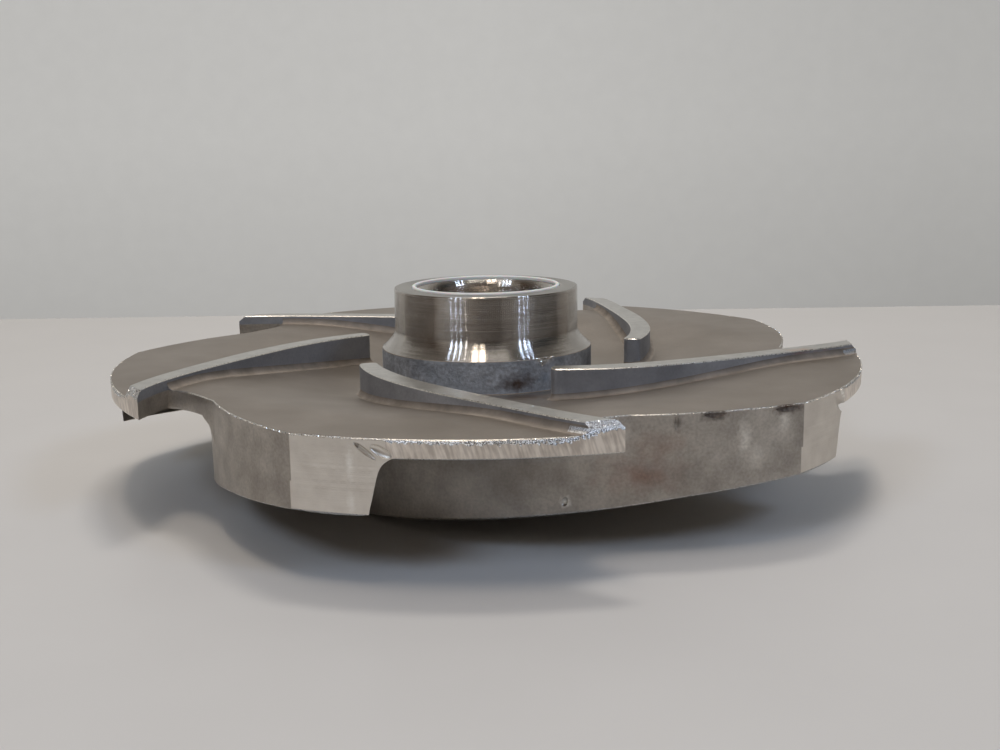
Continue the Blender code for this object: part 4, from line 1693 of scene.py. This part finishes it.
def seal_material(colour):
    """White fluoropolymer, machined: waxy, softly glossy, and light passes a little way in."""
    material, put = new_material("machined_fluoropolymer")
    place = put("ShaderNodeTexCoord").outputs["Object"]
    tint = uneven(put, place, colour, patch=0.006, darkest=0.90)
    close_material(put, tint, 0.40, {"Subsurface Weight": 0.3, "Subsurface Scale": 0.001})
    return material


# Stage

CAMERA_PLACE = (0.0, -0.43168, 0.11526)
CAMERA_RIGHT = (0.99979321, -0.01322941, -0.01544413)
CAMERA_UP = (0.01768947, 0.19116188, 0.98139911)
CAMERA_FORWARD = (0.010031, 0.98146937, -0.19135637)
CAMERA_LENS_MM = 45.652
CAMERA_SENSOR_MM = 36.0
CAMERA_NEAR = 0.01

# The table's near and far corners, whose far edge lies a little askew, and the wall's
TABLE_CORNERS = ((-2.5, -3.0, 0.0), (2.5, -3.0, 0.0), (2.5, 0.315, 0.0), (-2.5, 0.423, 0.0))
WALL_CORNERS = ((-4.0, 2.4, -1.0), (4.0, 2.4, -1.0), (4.0, 2.4, 3.0), (-4.0, 2.4, 3.0))

# Side lamps: where round the hub each is mirrored to the camera and how high it hangs, both
# in degrees, then metres away, width, length, watts and colour
SIDE_LAMPS = (
    (-21.5, 41.0, 1.6, 0.026, 0.40, 1.35, "#CFE3FF"),
    (-18.4, 41.0, 1.6, 0.026, 0.40, 1.60, "#CFE3FF"),
    (-15.5, 41.0, 1.6, 0.026, 0.40, 1.35, "#CFE3FF"),
    (-12.3, 37.0, 1.6, 0.024, 0.30, 0.70, "#F4F2F0"),
    (20.3, 41.0, 1.6, 0.022, 0.40, 1.70, "#C8DEFF"),
    (23.4, 41.0, 1.6, 0.022, 0.40, 1.70, "#C8DEFF"),
    (26.0, 41.0, 1.6, 0.020, 0.40, 1.30, "#C8DEFF"),
)
# How much of the camera's direction at the hub is level
LEVEL_SHARE = 0.989

# Lamps that hang overhead: place, width along X, length along Y, watts and colour
CEILING_LAMPS = (
    ((-0.190, -0.080, 1.49), 0.07, 0.40, 1.9, "#FFEFDC"),
    ((-0.075, -0.190, 1.49), 0.07, 0.40, 1.9, "#FFEFDC"),
    ((-0.100, 0.000, 1.50), 0.90, 0.90, 2.6, "#FFFCF8"),
    ((0.054, 0.510, 1.41), 0.36, 0.20, 5.6, "#FFFAF4"),
)

# Between which heights the lower part of the wall darkens with painted shade
PAINTED_SHADE_HEIGHTS = (-0.30, 0.10)

# How bright the room is in all, and in each direction: degrees round from +X and colour
ROOM_STRENGTH = 0.6
ROOM = (
    (-180.0, "#6A625B"),
    (-157.0, "#6A5A4E"),
    (-155.0, "#C6BDB2"),
    (-142.0, "#C9C3BB"),
    (-109.0, "#A79E95"),
    (-94.0, "#514A45"),
    (-73.0, "#544E49"),
    (-62.0, "#8F8982"),
    (-50.0, "#A8A29A"),
    (-33.0, "#8B8781"),
    (-15.0, "#464A4C"),
    (6.0, "#363A3C"),
    (18.0, "#8B8680"),
    (32.0, "#C2BDB5"),
    (90.0, "#CFCBC4"),
    (147.0, "#C2BDB5"),
    (161.0, "#6A625B"),
)


def build_camera():
    data = bpy.data.cameras.new("camera")
    data.lens = CAMERA_LENS_MM
    data.sensor_width = CAMERA_SENSOR_MM
    data.clip_start = CAMERA_NEAR
    camera = link("camera", data)
    backward = [-value for value in CAMERA_FORWARD]
    camera.matrix_world = axes_at((CAMERA_RIGHT, CAMERA_UP, backward), CAMERA_PLACE)
    bpy.context.scene.camera = camera


def flat_sheet(name, corners, material):
    work = bmesh.new()
    work.faces.new([work.verts.new(corner) for corner in corners])
    sheet = mesh_object(name, work)
    sheet.data.materials.append(material)
    return sheet


def painted(name, colour, roughness, patch, glow=0.0, painted_shade_right=0.0, painted_shade_down=0.0):
    """Matt paint with faint broad unevenness; glow lights a backdrop evenly.

    Its two fades are painted shade: the first darkens it by its share for each metre to the right,
    the second towards its lower part.
    """
    material, put = new_material(name)
    place = put("ShaderNodeTexCoord").outputs["Object"]
    split = put("ShaderNodeSeparateXYZ", place)
    tint = uneven(put, place, colour, patch, darkest=0.94)
    # Painted shade: darker for each metre to the right and towards the foot of the wall
    right = put("ShaderNodeMapRange", split.outputs["X"], 0.0, 1.0, 1.0, 1.0 - painted_shade_right)
    down = put("ShaderNodeMapRange", split.outputs["Z"], *PAINTED_SHADE_HEIGHTS, 1.0 - painted_shade_down, 1.0)
    painted_wall_shade = put("ShaderNodeMath", right, down, operation="MULTIPLY")
    tint = put("ShaderNodeVectorMath", {"Vector": tint, "Scale": painted_wall_shade}, operation="SCALE")
    close_material(put, tint, roughness, {"Emission Color": tint, "Emission Strength": glow})
    return material


def hang_lamp(place, width, length, watts, colour):
    """A flat lamp that shines straight down."""
    data = bpy.data.lights.new("lamp", "AREA")
    data.shape = "RECTANGLE"
    data.size, data.size_y = width, length
    data.energy = watts
    data.color = linear(colour)[:3]
    lamp = link("lamp", data)
    lamp.location = place
    return lamp


def add_side_lamp(mirrored_deg, up_deg, away, width, length, watts, colour):
    """A long lamp beside the object, laid so that the hub mirrors it as one upright line."""
    facing, up = math.radians(mirrored_deg), math.radians(up_deg)
    around = facing - math.acos(LEVEL_SHARE * math.sin(facing) / math.cos(up))
    towards = Vector((*polar(math.cos(up), around), math.sin(up)))
    level = Vector((math.cos(facing), math.sin(facing), 0.0))
    along = towards.cross(level).normalized()
    place = towards * away
    lamp = hang_lamp(place, width, length, watts, colour)
    lamp.matrix_world = axes_at((along.cross(towards), along, towards), place)


def build_room():
    """Dim surroundings in upright bands, which the polished hub mirrors."""
    world = bpy.data.worlds.new("room")
    bpy.context.scene.world = world
    world.use_nodes = True
    tree = world.node_tree
    put = partial(add_node, tree)
    split = put("ShaderNodeSeparateXYZ", put("ShaderNodeTexCoord").outputs["Generated"])
    angle = put("ShaderNodeMath", split.outputs["Y"], split.outputs["X"], operation="ARCTAN2")
    share = put("ShaderNodeMapRange", angle, -math.pi, math.pi, 0.0, 1.0)
    bands = put("ShaderNodeValToRGB", share)
    # A new ramp has two stops already
    stops = bands.color_ramp.elements
    for index, (degrees, colour) in enumerate(ROOM):
        place = (degrees + 180.0) / 360.0
        stop = stops[index] if index < 2 else stops.new(place)
        stop.position = place
        stop.color = linear(colour)
    background = tree.nodes["Background"]
    tree.links.new(bands.outputs["Color"], background.inputs["Color"])
    background.inputs["Strength"].default_value = ROOM_STRENGTH


def build_stage(colours):
    # Pale painted table top: matt, with an even soft light
    pale = painted("pale_table", colours.table, roughness=0.45, patch=0.05)
    table = flat_sheet("table", TABLE_CORNERS, pale)
    # Painted wall far behind: plain and glowing evenly, with painted shade darker to the right and
    # towards its foot
    plain = painted(
        "plain_wall", colours.wall, roughness=0.8, patch=0.04,
        glow=0.72, painted_shade_right=0.13, painted_shade_down=0.16,
    )
    wall = flat_sheet("wall", WALL_CORNERS, plain)
    for lamp in SIDE_LAMPS:
        add_side_lamp(*lamp)
    for lamp in CEILING_LAMPS:
        hang_lamp(*lamp)
    build_room()
    bpy.context.scene.view_settings.view_transform = "Standard"


# Operators, panel and registration


def keep(piece, slot, *nodes):
    """Fix a finished piece to the impeller and hide the imported parts that it stands for."""
    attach(piece, "root")
    if nodes:
        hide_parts(*nodes)


class IMPELLER_OT_casting(bpy.types.Operator):
    """Build the casting and give each face its finish"""

    bl_idname = "impeller.casting"
    bl_label = "Casting"

    def execute(self, context):
        finishes = casting_finishes()
        casting = build_casting(context.scene.impeller_sizes, finishes["outer_wall"])
        paint_casting(casting, finishes)
        smooth_edges(casting, sharp_deg=32.0)
        casting.name = "casting_dressed"
        keep(casting, "cast_stainless", "impeller_casting")
        return {"FINISHED"}


class IMPELLER_OT_seal_ring(bpy.types.Operator):
    """Build the white seal ring in the hub's end face"""

    bl_idname = "impeller.seal_ring"
    bl_label = "Seal ring"

    def execute(self, context):
        ring = build_seal_ring(seal_material(context.scene.impeller_colours.seal))
        keep(ring, "white_seal", "seal_ring")
        return {"FINISHED"}


class IMPELLER_OT_thread(bpy.types.Operator):
    """Build the thread in the blind bore"""

    bl_idname = "impeller.thread"
    bl_label = "Bore thread"

    def execute(self, context):
        # Cut thread: dull flanks that catch a thin light along each turn
        material = turned_steel(
            "cut_thread", "#A7A29A", "#7E7A73",
            roughness=(0.25, 0.38), anisotropy=0.3, tilt=0.1,
        )
        keep(build_thread(context.scene.impeller_sizes, material), "cast_stainless")
        return {"FINISHED"}


class IMPELLER_OT_burrs(bpy.types.Operator):
    """Scatter the torn burrs along the rim, the vane tips, the notches and the flare"""

    bl_idname = "impeller.burrs"
    bl_label = "Burrs"

    def execute(self, context):
        # Freshly torn steel: bright flat facets that glint one by one
        material = steel(
            "torn_burr", "#FAF8F4", "#D9D5CE", patch=0.001, roughness=(0.18, 0.30),
            grain=0.0005, depth=0.00001,
        )
        keep(build_burrs(context.scene.impeller_sizes, material), "cast_stainless")
        return {"FINISHED"}


class IMPELLER_OT_stage(bpy.types.Operator):
    """Build the table, the wall, the lights and the camera"""

    bl_idname = "impeller.stage"
    bl_label = "Stage"

    def execute(self, context):
        build_camera()
        build_stage(context.scene.impeller_colours)
        return {"FINISHED"}


class VIEW3D_PT_impeller(bpy.types.Panel):
    """Sizes, colours and the pieces of the impeller"""

    bl_idname = "VIEW3D_PT_impeller"
    bl_label = "Pump impeller"
    bl_space_type = "VIEW_3D"
    bl_region_type = "UI"
    bl_category = "Impeller"

    def draw(self, context):
        layout = self.layout
        for settings in (context.scene.impeller_sizes, context.scene.impeller_colours):
            column = layout.column()
            for label in settings.__annotations__:
                column.prop(settings, label)
        for operator in OPERATORS:
            layout.operator(operator.bl_idname)


OPERATORS = (
    IMPELLER_OT_casting,
    IMPELLER_OT_seal_ring,
    IMPELLER_OT_thread,
    IMPELLER_OT_burrs,
    IMPELLER_OT_stage,
)
CLASSES = (ImpellerSizes, ImpellerColours, *OPERATORS, VIEW3D_PT_impeller)


def register():
    for item in CLASSES:
        bpy.utils.register_class(item)
    bpy.types.Scene.impeller_sizes = PointerProperty(type=ImpellerSizes)
    bpy.types.Scene.impeller_colours = PointerProperty(type=ImpellerColours)


def unregister():
    del bpy.types.Scene.impeller_colours
    del bpy.types.Scene.impeller_sizes
    for item in reversed(CLASSES):
        bpy.utils.unregister_class(item)


def main():
    register()
    bpy.ops.impeller.casting()
    bpy.ops.impeller.seal_ring()
    bpy.ops.impeller.thread()
    bpy.ops.impeller.burrs()
    bpy.ops.impeller.stage()


if __name__ == "__main__":
    main()
